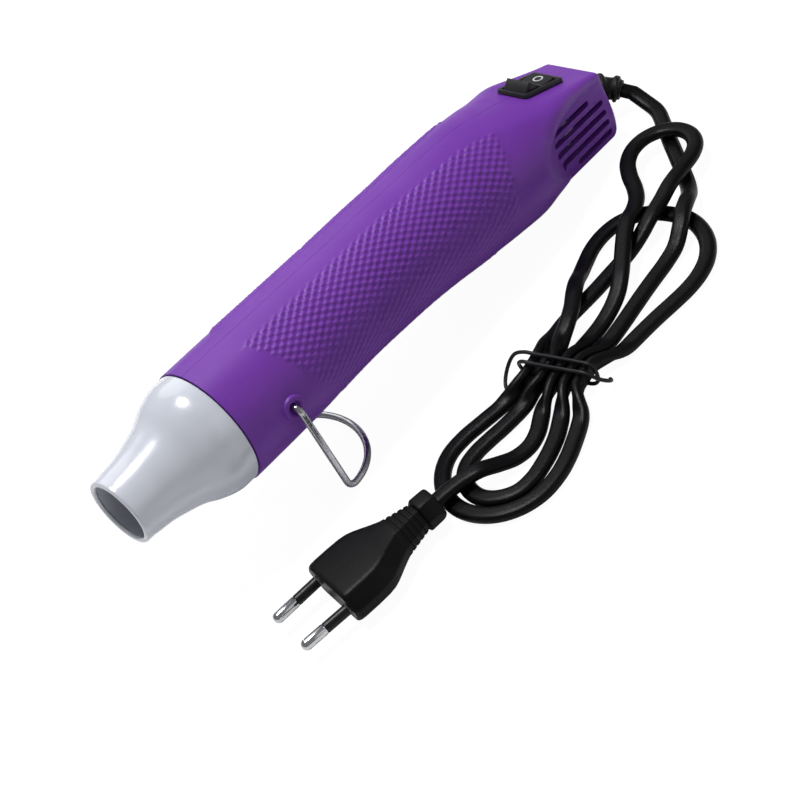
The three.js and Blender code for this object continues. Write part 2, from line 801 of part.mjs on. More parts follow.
function makeMotor(tool) {
  const bushOuter = shaftRadius + partGap + bushWall;
  const bushHole = bushOuter + partGap;
  const canInner = motorRadius - motorWall;
  const can = turned([
    [bushHole, motorStart], [motorRadius, motorStart], [motorRadius, motorEnd],
    [canInner, motorEnd], [canInner, motorStart + motorWall], [bushHole, motorStart + motorWall],
  ]);
  add(tool, 'motor_can', can, darkIron);
  const capStart = motorEnd + partGap;
  const capEnd = capStart + endCapThickness;
  add(tool, 'motor_end_cap', tubeAlongX(capStart, capEnd, bushHole, motorRadius), nylon);
  const bushBore = shaftRadius + partGap;
  const bushHalf = bushLength / 2;
  const frontMiddle = motorStart + motorWall / 2;
  const front = tubeAlongX(frontMiddle - bushHalf, frontMiddle + bushHalf, bushBore, bushOuter, 12);
  add(tool, 'front_bush', front, brass);
  const rearEnd = capEnd + partGap;
  add(tool, 'rear_bush', tubeAlongX(rearEnd - bushLength, rearEnd, bushBore, bushOuter, 12), brass);

  const magnetOuter = canInner - looseGap;
  const magnetInner = magnetOuter - magnetWall;
  for (const side of [0, 1]) {
    const middle = Math.PI * side;
    const arc = new THREE.Shape();
    arc.absarc(0, 0, magnetOuter, middle - magnetSpan / 2, middle + magnetSpan / 2);
    arc.absarc(0, 0, magnetInner, middle + magnetSpan / 2, middle - magnetSpan / 2, true);
    const start = motorStart + magnetStart;
    add(tool, `motor_magnet_${side + 1}`, pushedAlongX(arc, start, magnetLength, 10), darkIron);
  }

  const shaftEnd = motorEnd + shaftTail;
  const rotor = new THREE.Group();
  tool.add(rotor);
  add(rotor, 'motor_shaft', rod(motorStart - shaftNose, shaftEnd, shaftRadius, 12), steel);
  const armatureRadius = magnetInner - airGap;
  const star = new THREE.Shape();
  for (let k = 0; k < 3; k += 1) {
    const from = 2 * Math.PI * k / 3 + 0.2;
    star.absarc(0, 0, armatureRadius, from, from + 2 * Math.PI / 3 - 0.4);
    star.absarc(0, 0, armatureRadius - armatureSlot, from + 2 * Math.PI / 3 - 0.4, from + 2 * Math.PI / 3);
  }
  const eye = new THREE.Path();
  eye.absarc(0, 0, bushBore, 0, 2 * Math.PI, true);
  star.holes.push(eye);
  const armatureStart = motorStart + magnetStart + (magnetLength - armatureLength) / 2;
  add(rotor, 'motor_armature', pushedAlongX(star, armatureStart, armatureLength, 7), copper);
  const commutatorStart = armatureStart + armatureLength + commutatorSpace;
  const commutatorEnd = commutatorStart + commutatorLength;
  add(rotor, 'motor_commutator', tubeAlongX(commutatorStart, commutatorEnd, bushBore, commutatorRadius, 12), copper);

  for (const side of [-1, 1]) {
    const inner = side * (commutatorRadius + partGap);
    const outer = inner + side * brushThickness;
    const leaf = box(
      [commutatorStart, -brushWidth / 2, Math.min(inner, outer)],
      [motorEnd, brushWidth / 2, Math.max(inner, outer)],
    );
    add(tool, `motor_brush_${side < 0 ? 1 : 2}`, leaf, copper);
  }

  let fan = tubeAlongX(fanStart, fanStart + fanLength, bushBore, hubRadius, 24);
  const span = fanRadius - hubRadius + bladeRoot;
  for (let k = 0; k < bladeCount; k += 1) {
    const blade = new THREE.BoxGeometry(bladeChord, bladeThickness, span)
      .rotateZ(bladePitch)
      .translate(0, 0, fanRadius - span / 2)
      .rotateX(2 * Math.PI * k / bladeCount)
      .translate(fanStart + fanLength / 2, 0, 0);
    fan = fan.add(solid(blade));
  }
  const fanBarrel = rod(fanStart - overrun, fanStart + fanLength + overrun, fanRadius, 36);
  add(rotor, 'fan', fan.intersect(fanBarrel), nylon);
}

// Motor mount: a rim that seats in the case, three spokes and a cup for the motor
function makeMount(tool) {
  const rimStart = motorStart + motorWall;
  const rimEnd = rimStart + mountLength;
  const { radius, drop } = barrelAt(rimStart + mountLength / 2);
  const rimOuter = radius - wall - looseGap;
  const rim = tubeAlongX(rimStart, rimEnd, rimOuter - mountRim, rimOuter, ringCount).translate([0, 0, -drop]);
  const cupInner = motorRadius + partGap;
  const cup = tubeAlongX(rimStart, rimStart + mountCupLength, cupInner, cupInner + mountCup, 24);
  let mount = rim.add(cup);
  for (let k = 0; k < 3; k += 1) {
    const spoke = new THREE.BoxGeometry(mountLength, mountSpoke, rimOuter - cupInner - mountCup / 2)
      .translate(rimStart + mountLength / 2, 0, (rimOuter + cupInner) / 2)
      .rotateX(2 * Math.PI * k / 3);
    mount = mount.add(solid(spoke));
  }
  for (const angle of leadAngles) {
    const notch = rod(rimStart - overrun, rimEnd + overrun, leadNotch, 12);
    mount = mount.subtract(notch.translate([0, leadCircle * Math.cos(angle), leadCircle * Math.sin(angle)]));
  }
  const round = rod(rimStart - overrun, rimEnd + mountCupLength, rimOuter, ringCount).translate([0, 0, -drop]);
  add(tool, 'motor_mount', mount.intersect(round), nylon);
}

const boardStart = motorEnd + endCapThickness + 3 * partGap;
const boardEnd = boardStart + boardThickness;
function makeBoard(tool) {
  add(tool, 'rectifier_board', rod(boardStart, boardEnd, boardRadius, 24), boardGreen);
  let number = 1;
  for (const z of diodeHeights) {
    for (const side of [-1, 1]) {
      const middle = side * diodeSpread;
      const x = boardEnd + partGap + diodeRadius;
      const ends = [middle - diodeLength / 2, middle + diodeLength / 2];
      add(tool, `diode_${number}`, crossRod(x, z, ...ends, diodeRadius, 10), black);
      number += 1;
    }
  }
}

// Switch: a bezel on the deck with its body below, a rocker on a pin, two blade terminals
function roundedPlate(length, width, round) {
  const [a, b] = [length / 2, width / 2];
  const shape = new THREE.Shape();
  shape.absarc(a - round, b - round, round, 0, Math.PI / 2);
  shape.absarc(round - a, b - round, round, Math.PI / 2, Math.PI);
  shape.absarc(round - a, round - b, round, Math.PI, 1.5 * Math.PI);
  shape.absarc(a - round, round - b, round, 1.5 * Math.PI, 2 * Math.PI);
  return shape;
}

function makeSwitch(tool) {
  const room = rockerRadius + partGap;
  const halfRoom = switchWidth / 2 - switchWall;
  const bezelShape = roundedPlate(bezelLength, bezelWidth, bezelRound);
  const bezel = new THREE.ExtrudeGeometry(bezelShape, { depth: bezelHeight, bevelEnabled: false, curveSegments: 4 });
  const body = new THREE.BoxGeometry(switchLength, switchWidth, switchDepth + bezelHeight)
    .translate(0, 0, (bezelHeight - switchDepth) / 2);
  const well = new THREE.BoxGeometry(2 * room, 2 * halfRoom, switchCavity + overrun)
    .translate(0, 0, (overrun - switchCavity) / 2);
  const pinHole = new THREE.CylinderGeometry(rockerPinRadius + partGap, rockerPinRadius + partGap, bezelWidth, 12)
    .translate(0, 0, -rockerPivotDrop);
  const housing = toDeck(bezel.translate(0, 0, partGap))
    .add(toDeck(body))
    .subtract(toDeck(well))
    .subtract(toDeck(pinHole));
  add(tool, 'switch_body', housing, black);

  const group = new THREE.Group();
  group.position.copy(onDeck(0, -rockerPivotDrop));
  group.rotation.y = deckSlope + rockerRest;
  tool.add(group);
  const arc = (from, to) => Array.from({ length: 6 }, (_, k) => {
    const angle = THREE.MathUtils.lerp(from, to, k / 5);
    return [rockerRadius * Math.cos(angle), rockerRadius * Math.sin(angle)];
  });
  const rearEnd = arc(-rockerEndDrop, rockerTopRise);
  const frontEnd = arc(Math.PI - rockerTopRise, Math.PI + rockerEndDrop);
  const dishZ = rockerRadius * Math.sin(rockerTopRise) - rockerDish;
  const keel = [[-rockerKeel, -rockerBellyDrop - rockerDish], [rockerKeel, -rockerBellyDrop - rockerDish]];
  const rocker = slab([...rearEnd, [0, dishZ], ...frontEnd, ...keel], halfRoom - partGap);
  const pinEnd = switchWidth / 2 - partGap / 2;
  add(group, 'switch_rocker', rocker.add(crossRod(0, 0, -pinEnd, pinEnd, rockerPinRadius, 12)), black);

  for (const side of [-1, 1]) {
    const top = -switchDepth - partGap;
    const blade = new THREE.BoxGeometry(terminalThickness, terminalWidth, terminalLength)
      .translate(side * terminalSpread, 0, top - terminalLength / 2);
    add(tool, `switch_terminal_${side < 0 ? 1 : 2}`, toDeck(blade), brass);
  }
}

// Strain relief: a collar inside the rear wall, a neck through it and a ribbed tail that bends with the cord
const reliefStart = rearX - wall - partGap - reliefCollarLength;
const reliefTipPlace = new THREE.Vector3(rearX + reliefTipReach, reliefTipY, -reliefTipDrop);
function makeRelief(tool) {
  const face = new THREE.Vector3(rearX + rearBulge, 0, -reliefDrop);
  const bend = new THREE.CubicBezierCurve3(
    face,
    face.clone().addScaledVector(alongX, reliefLead),
    reliefTipPlace.clone().addScaledVector(reliefTipHeading, -reliefLead),
    reliefTipPlace,
  );
  const inner = new THREE.Vector3(reliefStart, 0, -reliefDrop);
  const rings = [];
  const straight = [
    [inner.x, reliefCollar],
    [inner.x + reliefCollarLength, reliefCollar],
    [inner.x + reliefCollarLength, reliefHole],
    [face.x + partGap, reliefHole],
  ];
  for (const [x, radius] of straight) {
    rings.push(ringAt(new THREE.Vector3(x, 0, -reliefDrop), radius, alongY, alongZ, 16));
  }
  for (const [share, radiusShare] of [...reliefRibShares, ...reliefEndShares]) {
    const place = bend.getPoint(0.03 + 0.97 * share);
    const way = bend.getTangent(0.03 + 0.97 * share);
    const across = alongZ.clone().cross(way).normalize();
    rings.push(ringAt(place, reliefHole * radiusShare, across, way.clone().cross(across), 16));
  }
  add(tool, 'strain_relief', loft(rings), black);
}

// Flat cord section with its corners cut
const cordSection = [
  [cordWidth / 2, -cordCorner], [cordWidth / 2, cordCorner],
  [cordWidth / 2 - cordCorner, cordThickness / 2], [cordCorner - cordWidth / 2, cordThickness / 2],
  [-cordWidth / 2, cordCorner], [-cordWidth / 2, -cordCorner],
  [cordCorner - cordWidth / 2, -cordThickness / 2], [cordWidth / 2 - cordCorner, -cordThickness / 2],
];

function makeInsideCord(tool) {
  const rear = new THREE.Vector3(reliefStart - partGap, 0, -reliefDrop);
  const front = rear.clone().addScaledVector(alongX, -cordInsideLength);
  const places = [front, front.clone().lerp(rear, 0.5), rear];
  const ups = places.map(() => alongY.clone().negate());
  add(tool, 'cord_inside', sweep(cordSection, places, places.map(() => alongZ), ups), black);

  const [nearFace, thick] = [-cordThickness / 2 - partGap, clampThickness];
  let bar = box(
    [clampX + partGap, nearFace - thick, -reliefDrop - clampHalfHeight],
    [clampX + clampLength - partGap, nearFace, -reliefDrop + clampHalfHeight],
  );
  [-1, 1].forEach((up, i) => {
    const z = -reliefDrop + up * clampScrewSpread;
    const x = clampX + clampLength / 2;
    bar = bar.subtract(crossRod(x, z, -2 * barrelRadius, 0, clampScrewRadius + partGap, 12));
    const headTop = nearFace - thick - partGap;
    const screw = crossRod(x, z, headTop - clampScrewHeadHeight / 2, clampScrewReach, clampScrewRadius, 12)
      .add(crossRod(x, z, headTop - clampScrewHeadHeight, headTop, clampScrewHead, 12));
    add(tool, `clamp_screw_${i + 1}`, screw, steel);
  });
  add(tool, 'cord_clamp', bar, nylon);
}

// Wires between the lead's cores, the switch, the board and the heater
function makeWires(tool) {
  const coreX = reliefStart - cordInsideLength - 2 * partGap;
  const down = onDeck(0, -1).sub(onDeck(0, 0));
  const forward = alongX.clone().negate();
  const bladeEnd = (side, y) => onDeck(side * terminalSpread, -switchDepth - 2 * partGap - terminalLength).setY(y);
  const liveStart = new THREE.Vector3(coreX, 0, coreSpread - reliefDrop);
  const liveEnd = bladeEnd(-1, coreSpread / 2);
  const live = squareWire(liveStart, forward, [], down, liveEnd, wireRadius);
  add(tool, 'wire_live', live, red);

  const boardFace = boardEnd + partGap;
  const neutralStart = new THREE.Vector3(coreX, 0, -coreSpread - reliefDrop);
  const neutralEnd = new THREE.Vector3(boardFace, boardRadius * 0.4, -boardRadius * 0.62);
  const neutralMiddle = neutralStart.clone().lerp(neutralEnd, 0.5);
  const neutral = squareWire(neutralStart, forward, [neutralMiddle], alongX, neutralEnd, wireRadius);
  add(tool, 'wire_neutral', neutral, blue);

  const switchedStart = bladeEnd(1, -terminalWidth / 2 + wireRadius);
  const switchedEnd = new THREE.Vector3(boardFace, -boardRadius * 0.3, boardRadius * 0.6);
  const switchedMiddles = [0.2, 0.6].map((share) => switchedStart.clone()
    .lerp(switchedEnd, share)
    .addScaledVector(alongZ, -4 * wireRadius * (1 - share))
    .addScaledVector(alongY, -2 * wireRadius));
  const switched = squareWire(switchedStart, down, switchedMiddles, alongX, switchedEnd, wireRadius);
  add(tool, 'wire_switched', switched, red);

  leadAngles.forEach((angle, i) => {
    const at = (x, r) => new THREE.Vector3(x, r * Math.cos(angle), r * Math.sin(angle));
    const boardMiddle = (boardStart + boardEnd) / 2;
    const start = at(boardMiddle, boardRadius + partGap);
    const middles = [at(motorEnd - 2 * endCapThickness, leadCircle), at(motorStart, leadCircle), at(fanStart, leadCircle)];
    const end = at(heaterBaseEnd + partGap, leadCircle);
    const lead = squareWire(start, at(0, 1), middles, alongX, end, heaterLeadRadius);
    add(tool, `heater_lead_${i + 1}`, lead, nylon);
  });
}

// The free cord. Its places are [along the hank, across it, layers over the bench] from the tie's middle.
// It lies flat, and at the tie it stands on edge and is lifted a little.
const hankAlong = new THREE.Vector3(Math.cos(hankHeading), Math.sin(hankHeading), 0);
const hankAcross = new THREE.Vector3(-Math.sin(hankHeading), Math.cos(hankHeading), 0);
const leadPlaces = [
  [132.9, 36.5, 0.54], [129.8, 29.8, 0.13], [123.8, 24.2, 0], [116.5, 18, 0], [108.5, 11, 0], [100.5, 4, 0],
  [94, -1.4, 0.05], [88, -5.6, 0.45], [82.5, -8.2, 1], [76, -10, 1.14], [70, -11.5, 0.8], [63.5, -12, 0.2],
  [56, -11.5, 0], [48, -10.8, 0], [40, -10.2, 0], [32, -9.8, 0], [25, -9.4, 0], [18, -8.7, 0], [14, -7.6, 0],
  [10, -6, 0], [5, -4.9, 0],
];
const innerLobePlaces = [
  [0, -4.8, 0], [-5, -4.9, 0], [-10, -6, 0], [-14, -7.6, 0], [-18, -9, 0], [-24, -10.9, 0], [-31, -12, 0],
  [-36, -12.2, 0], [-42, -11.8, 0], [-48, -9.5, 0], [-52, -4.5, 0], [-53.5, 1.5, 0], [-52, 7.5, 0],
  [-48.5, 12, 0], [-43, 14.6, 0], [-37, 14.4, 0], [-31, 12.6, 0], [-25, 10.4, 0], [-18, 8.3, 0], [-14, 7.2, 0],
  [-10, 6.5, 0], [-5, 5.1, 0],
];
const wideLoopPlaces = [
  [0, 4.8, 0], [5, 4.9, 0.05], [10, 6.2, 0.25], [14, 6.9, 0.65], [18, 7.2, 1], [22, 7.9, 1.15], [27, 9.5, 1.14],
  [33, 12.2, 1.1], [39, 15, 0.8], [45, 17.5, 0.25], [51, 19.3, 0], [58, 20.2, 0], [65, 19.5, 0],
  [71.5, 16.8, 0], [76, 12, 0], [78.6, 5.5, 0], [79, -2, 0], [77.8, -9.5, 0], [74, -16.5, 0],
  [68, -22.3, 0], [60.5, -25.8, 0], [53, -26.6, 0], [46, -25.6, 0], [39, -23.4, 0], [32, -20.9, 0],
  [26, -19, 0], [19, -17, 0], [14, -15.6, 0], [10, -12.9, 0], [5, -10, 0],
];
const outerLobePlaces = [
  [0, -9.6, 0], [-5, -9.8, 0], [-10, -12.6, 0], [-14, -15.3, 0], [-18, -16.6, 0], [-24, -18.1, 0],
  [-31, -19.4, 0], [-38.5, -19.7, 0], [-46.5, -18.1, 0], [-53.5, -13.6, 0], [-58.4, -6.6, 0],
  [-60.2, 2, 0], [-58.7, 10.2, 0], [-54.2, 17.2, 0], [-47.5, 22, 0], [-40, 23.8, 0], [-32, 22.4, 0],
  [-25, 19.6, 0], [-19, 17, 0], [-15, 15.2, 0], [-11, 13.4, 0], [-5, 11.8, 0],
];
const longLoopPlaces = [
  [0, 11.5, 0], [6, 11.9, 0], [12, 12.9, 0], [19, 13, 0], [26, 12, 0], [33, 10.2, 0], [40, 8.4, 0],
  [47, 7, 0], [54, 5.6, 0], [60, 4, 0.2], [66, 2.5, 0.6], [72, 1.6, 1], [80, 1.2, 1.12],
  [88, 1.2, 1.27], [96, 0.8, 1.2], [104.3, 0.6, 1.08], [110.6, 2.3, 1.05], [115.2, 6.9, 1.03],
  [116.9, 13.2, 1.03], [115.2, 19.5, 1.03], [110.6, 24.1, 1.05], [104.3, 25.8, 1.05], [97.5, 24.3, 1.05],
  [91, 20, 1.05], [85.5, 15, 1.05], [80, 11.2, 1.12], [74, 9, 1.3], [68, 7.6, 1.6], [62, 6, 1.5],
  [56, 3.8, 1.3], [50, 1.4, 1.08], [44, -0.8, 0.85], [38, -2.2, 0.5], [32, -2.4, 0.2], [25, -1.9, 0],
  [19, -1.2, 0], [14, -0.4, 0], [10, 0, 0], [5, 0, 0],
];
const tailPlaces = [
  [0, 0, 0], [-5, 0, 0], [-10, 0, 0], [-14, -0.1, 0], [-18, -1.2, 0], [-24, -3.2, 0], [-30, -3.5, 0],
  [-36, -1.5, 0.15], [-41, 1.7, 0.55], [-46, 5.3, 1], [-51, 8.8, 1.05],
];

const edgeShare = (place) => {
  const away = Math.abs(place.clone().sub(tiePlace).dot(hankAlong));
  const across = Math.abs(place.clone().sub(tiePlace).dot(hankAcross));
  return across > flatReach ? 0 : 1 - THREE.MathUtils.smoothstep(away, edgeReach, flatReach);
};

function onHank(along, across, rise) {
  return tiePlace.clone().addScaledVector(hankAlong, along).addScaledVector(hankAcross, across).setZ(rise);
}

// The whole cord's places, their height being that of its underside while it lies flat
function cordStations() {
  const bed = new THREE.Object3D();
  bed.rotation.y = tilt;
  bed.position.z = axisHeight;
  bed.updateMatrixWorld();
  const fromRelief = (distance) => {
    const place = reliefTipPlace.clone().addScaledVector(reliefTipHeading, distance).applyMatrix4(bed.matrixWorld);
    return place.setZ(place.z - cordThickness / 2);
  };
  const fromPlug = (distance) => new THREE.Vector3(plugLength + distance, 0, 0)
    .applyAxisAngle(alongZ, plugHeading)
    .add(plugFront)
    .setZ((plugHeight - cordThickness) / 2);
  const hank = [leadPlaces, innerLobePlaces, wideLoopPlaces, outerLobePlaces, longLoopPlaces, tailPlaces].flat();
  const middle = hank.map(([along, across, layers]) => onHank(along, across, layers * layerPitch));
  const places = [fromRelief(partGap + hankStep), ...middle, fromPlug(partGap + hankStep)];
  return [fromRelief(partGap), ...smoothPlaces(places, smoothStep), fromPlug(partGap)];
}

// The cord's rings: places by arc length, each with its section's side and up
function cordRings() {
  const flatLine = cordStations();
  const lifted = flatLine.map((place) => {
    const share = edgeShare(place);
    const half = THREE.MathUtils.lerp(cordThickness, cordWidth, share) / 2;
    return place.clone().setZ(place.z + half + tieLift * share + benchGap);
  });
  const run = [0];
  for (let i = 1; i < lifted.length; i += 1) run.push(run[i - 1] + lifted[i].distanceTo(lifted[i - 1]));
  const [freeStart, freeLength] = [run[1], run.at(-2) - run[1]];
  const count = Math.round(freeLength / hankStep);
  const places = [lifted[0]];
  let at = 0;
  for (let k = 0; k <= count; k += 1) {
    const target = freeStart + freeLength * k / count;
    while (at < run.length - 2 && run[at + 1] < target) at += 1;
    const share = (target - run[at]) / (run[at + 1] - run[at]);
    places.push(lifted[at].clone().lerp(lifted[at + 1], share));
  }
  places.push(lifted.at(-1));
  const ways = headings(places);
  return places.map((place, i) => {
    const turn = Math.PI / 2 * edgeShare(place);
    const flatSide = alongZ.clone().cross(ways[i]).normalize();
    const flatUp = ways[i].clone().cross(flatSide);
    const side = flatSide.clone().multiplyScalar(Math.cos(turn)).addScaledVector(flatUp, Math.sin(turn));
    return { place, side, up: ways[i].clone().cross(side), way: ways[i], run: hankStep * i };
  });
}

// Signed distance from a point of the section's plane to the section's outline, negative inside it
function toSection(across, up) {
  let [least, inside] = [Infinity, true];
  cordSection.forEach(([a, b], k) => {
    const [c, d] = cordSection[(k + 1) % cordSection.length];
    const [along, rise] = [c - a, d - b];
    const share = ((across - a) * along + (up - b) * rise) / (along ** 2 + rise ** 2);
    const near = THREE.MathUtils.clamp(share, 0, 1);
    least = Math.min(least, Math.hypot(across - a - near * along, up - b - near * rise));
    if (along * (up - b) < rise * (across - a)) inside = false;
  });
  return inside ? -least : least;
}

// Least gap between stretches of the cord that lie far apart along it
function leastGap(rings) {
  const outline = (ring) => cordSection.flatMap(([a, b], k) => {
    const [c, d] = cordSection[(k + 1) % cordSection.length];
    return [0, 0.5].map((share) => ring.place.clone()
      .addScaledVector(ring.side, THREE.MathUtils.lerp(a, c, share))
      .addScaledVector(ring.up, THREE.MathUtils.lerp(b, d, share)));
  });
  let least = Infinity;
  rings.forEach((ring) => {
    const others = rings.filter((other) => (
      Math.abs(other.run - ring.run) > 3 * cordWidth && other.place.distanceTo(ring.place) < 2 * cordWidth));
    for (const point of others.flatMap(outline)) {
      const away = point.sub(ring.place);
      if (Math.abs(away.dot(ring.way)) < 0.55 * hankStep) {
        least = Math.min(least, toSection(away.dot(ring.side), away.dot(ring.up)));
      }
    }
  });
  return least;
}

function makeCord(bench) {
  const rings = cordRings();
  const alongHank = (ring) => ring.place.clone().sub(tiePlace).dot(hankAlong);
  const leadEnd = rings.findIndex((ring) => alongHank(ring) < leadSplit);
  const tailStart = rings.findLastIndex((ring) => alongHank(ring) > -tailSplit);
  const stretch = (from, to) => {
    const part = rings.slice(from, to + 1);
    if (to < rings.length - 1) {
      const last = part.at(-1);
      part[part.length - 1] = { ...last, place: last.place.clone().addScaledVector(last.way, -partGap) };
    }
    const [places, sides, ups] = ['place', 'side', 'up'].map((key) => part.map((ring) => ring[key]));
    return sweep(cordSection, places, sides, ups);
  };
  add(bench, 'cord_lead', stretch(0, leadEnd), black);
  add(bench, 'cord_hank', stretch(leadEnd, tailStart), black);
  add(bench, 'cord_tail', stretch(tailStart, rings.length - 1), black);
  console.log('cord length', rings.at(-1).run.toFixed(1), 'least gap to itself', leastGap(rings).toFixed(2));
}

// Twist tie: one wire that goes twice over the hank's waist and once under it. Rows as for the cord, with a height.
const tiePlaces = [
  [-10, 17, 0.85], [-7, 20.5, 1.2], [-2, 21.5, 4], [1.5, 19, 8], [2.1, 14.5, 9.6], [2.1, 9, 9.5], [2.1, 0, 9.5],
  [2, -8, 9.5], [1.9, -12, 9.2], [1.7, -13.7, 7.6], [1.5, -14, 5], [1, -13.7, 2.4], [0.6, -12, 1],
  [0.3, -8, 0.85], [0, 0, 0.85], [-0.4, 9, 0.85], [-0.6, 13.4, 1], [-0.9, 15.3, 2.6], [-1.2, 15.6, 5],
  [-1.6, 15.2, 7.8], [-1.9, 13, 9.5], [-2, 8, 9.5], [-2.1, 0, 9.5], [-2.1, -8, 9.5], [-2, -12.4, 9.3],
  [-1.8, -15, 8], [-1, -17, 6], [0.5, -18.4, 4], [2.5, -18, 2], [3.8, -16.2, 0.9],
];
function makeTie(bench) {
  const places = tiePlaces.map((row) => onHank(...row));
  add(bench, 'twist_tie', wire(smoothPlaces(places, 4 * tieWire), tieWire, 6, alongZ), black);
}

// Plug: x from its front face to its cord end, lying flat on the bench
const plugOutlineShares = [
  [0, 0.95, 0.95], [0.03, 1, 1], [0.36, 1, 1], [0.6, 0.46, 0.84],
];
const plugNeckShares = [
  [0.64, 0.4, 0.78], [0.68, 0.4, 0.78], [0.68, 0.34, 0.66], [0.72, 0.34, 0.66],
  [0.72, 0.4, 0.78], [0.76, 0.4, 0.78], [0.76, 0.34, 0.66], [0.8, 0.34, 0.66],
  [0.8, 0.4, 0.78], [0.84, 0.4, 0.78], [0.84, 0.52, 0.96], [1, 0.5, 0.92],
];
function makePlug(bench) {
  const plug = new THREE.Group();
  plug.position.copy(plugFront);
  plug.rotation.z = plugHeading;
  bench.add(plug);
  const middle = plugHeight / 2;
  const rings = [...plugOutlineShares, ...plugNeckShares].map(([along, wide, high]) => {
    const [a, b] = [plugWidth / 2 * wide, middle * high];
    const flat = a - b * 0.62;
    const outline = [[a, -0.3 * b], [a, 0.3 * b], [flat, b], [-flat, b], [-a, 0.3 * b], [-a, -0.3 * b], [-flat, -b], [flat, -b]];
    return outline.map(([y, z]) => new THREE.Vector3(plugLength * along, y, middle + z));
  });
  add(plug, 'plug_body', loft(rings), black);
  for (const side of [-1, 1]) {
    const pin = new THREE.Group();
    pin.position.set(-partGap, side * pinSpacing / 2, middle);
    pin.rotation.z = side * pinToe;
    plug.add(pin);
    const round = pinRadius / 4;
    const metal = turned([
      [0, -pinLength], [pinRadius - round, -pinLength], [pinRadius, round - pinLength],
      [pinRadius, -sleeveLength - partGap], [pinCore, -sleeveLength - partGap], [pinCore, 0], [0, 0],
    ], 14);
    const number = side < 0 ? 1 : 2;
    add(pin, `plug_pin_${number}`, metal, steel);
    const sleeve = tubeAlongX(-sleeveLength, -pinToe * pinRadius, pinCore + partGap, sleeveRadius, 14);
    add(pin, `pin_sleeve_${number}`, sleeve, black);
  }
}

// Assembly
const part = new THREE.Group();
const bench = new THREE.Group();
part.add(bench);
const tool = new THREE.Group();
tool.rotation.y = tilt;
tool.position.z = axisHeight;
bench.add(tool);

makeCase(tool);
makeNozzle(tool);
makeHeater(tool);
makeMotor(tool);
makeMount(tool);
makeBoard(tool);
makeSwitch(tool);
makeRelief(tool);
makeInsideCord(tool);
makeWires(tool);
makeStand(bench);

// The origin is at the middle of the tool and its stand, on the bench
bench.updateMatrixWorld(true);
const toolBox = new THREE.Box3().setFromObject(bench, true);
const toolMiddle = toolBox.getCenter(new THREE.Vector3());
bench.position.set(-toolMiddle.x, 0, 0);
console.log('bench shift', bench.position.x.toFixed(3), 'tilt', THREE.MathUtils.radToDeg(tilt).toFixed(3));

makeCord(bench);
makeTie(bench);
makePlug(bench);

export default part;
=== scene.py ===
# Embossing heat tool on a bench, with its lead tied in a hank and its plug in front
import json
import math

import bmesh
import bpy
import numpy as np
from mathutils import Matrix, Vector


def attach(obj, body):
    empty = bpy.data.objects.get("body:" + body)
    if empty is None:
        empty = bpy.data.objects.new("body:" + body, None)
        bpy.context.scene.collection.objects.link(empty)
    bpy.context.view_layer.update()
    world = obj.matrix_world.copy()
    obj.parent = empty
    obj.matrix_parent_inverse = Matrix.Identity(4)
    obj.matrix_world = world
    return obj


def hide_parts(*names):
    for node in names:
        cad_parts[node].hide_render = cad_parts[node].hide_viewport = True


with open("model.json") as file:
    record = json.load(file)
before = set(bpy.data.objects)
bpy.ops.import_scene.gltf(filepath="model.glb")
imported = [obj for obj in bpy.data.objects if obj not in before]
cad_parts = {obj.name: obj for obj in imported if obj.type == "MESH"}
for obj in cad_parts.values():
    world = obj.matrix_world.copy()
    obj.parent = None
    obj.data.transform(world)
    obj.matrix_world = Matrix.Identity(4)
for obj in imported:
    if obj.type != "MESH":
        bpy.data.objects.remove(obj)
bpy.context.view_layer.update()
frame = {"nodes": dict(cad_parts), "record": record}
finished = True
print("frame loaded:", len(frame["nodes"]), "nodes")

# Places in the part's frame

place = {
    "tilt": math.radians(5.7754),  # the axis falls this much from nozzle to tail
    "axisHeight": 48.829,  # of the axis over the bench, at the mouth
    "shift": -129.504,  # from the mouth's foot on the bench to the part's origin
    "rearX": 245.0,
    "caseStart": 42.9,
    "pivotX": 62.4,  # of the stand's pins
    "reliefDrop": 11.0,  # of the strain relief under the axis
}


def fromBench(points):
    # bench millimetres, x from under the mouth, to the part's frame in metres
    return (np.asarray(points, float) + [place["shift"], 0, 0]) / 1000


def fromTool(points):
    # tool millimetres: turned by the tilt about y, raised to the axis, then as on the bench
    x, y, z = apart(points)
    x, z = turnedBy(-place["tilt"], x, z)
    return fromBench(together(x, y, place["axisHeight"] + z))


# Curves and meshes

def unit(vectors):
    # each vector over its own length
    return vectors / np.linalg.norm(vectors, axis=-1, keepdims=True)


def smoothLine(points, perSpan=16):
    # centripetal Catmull-Rom: each span is a cubic whose end slopes come from its neighbours' root distances
    p = np.asarray(points, float)
    p = np.concatenate([[2 * p[0] - p[1]], p, [2 * p[-1] - p[-2]]])
    a, b, c, d = p[:-3], p[1:-2], p[2:-1], p[3:]
    gap = np.maximum(np.linalg.norm(np.diff(p, axis=0), axis=1), 1e-9) ** 0.5
    d0, d1, d2 = gap[:-2, None], gap[1:-1, None], gap[2:, None]
    slopeB = ((b - a) / d0 - (c - a) / (d0 + d1) + (c - b) / d1) * d1
    slopeC = ((c - b) / d1 - (d - b) / (d1 + d2) + (d - c) / d2) * d1
    t = (np.arange(perSpan) / perSpan)[None, :, None]
    b, c, slopeB, slopeC = b[:, None], c[:, None], slopeB[:, None], slopeC[:, None]
    cubic = (
        b
        + slopeB * t
        + (3 * (c - b) - 2 * slopeB - slopeC) * t**2
        + (2 * (b - c) + slopeB + slopeC) * t**3
    )
    return np.concatenate([cubic.reshape(-1, p.shape[1]), [p[-2]]])


def runOf(points):
    # the length of the line up to each of its points
    return np.concatenate([[0], np.cumsum(np.linalg.norm(np.diff(points, axis=0), axis=1))])


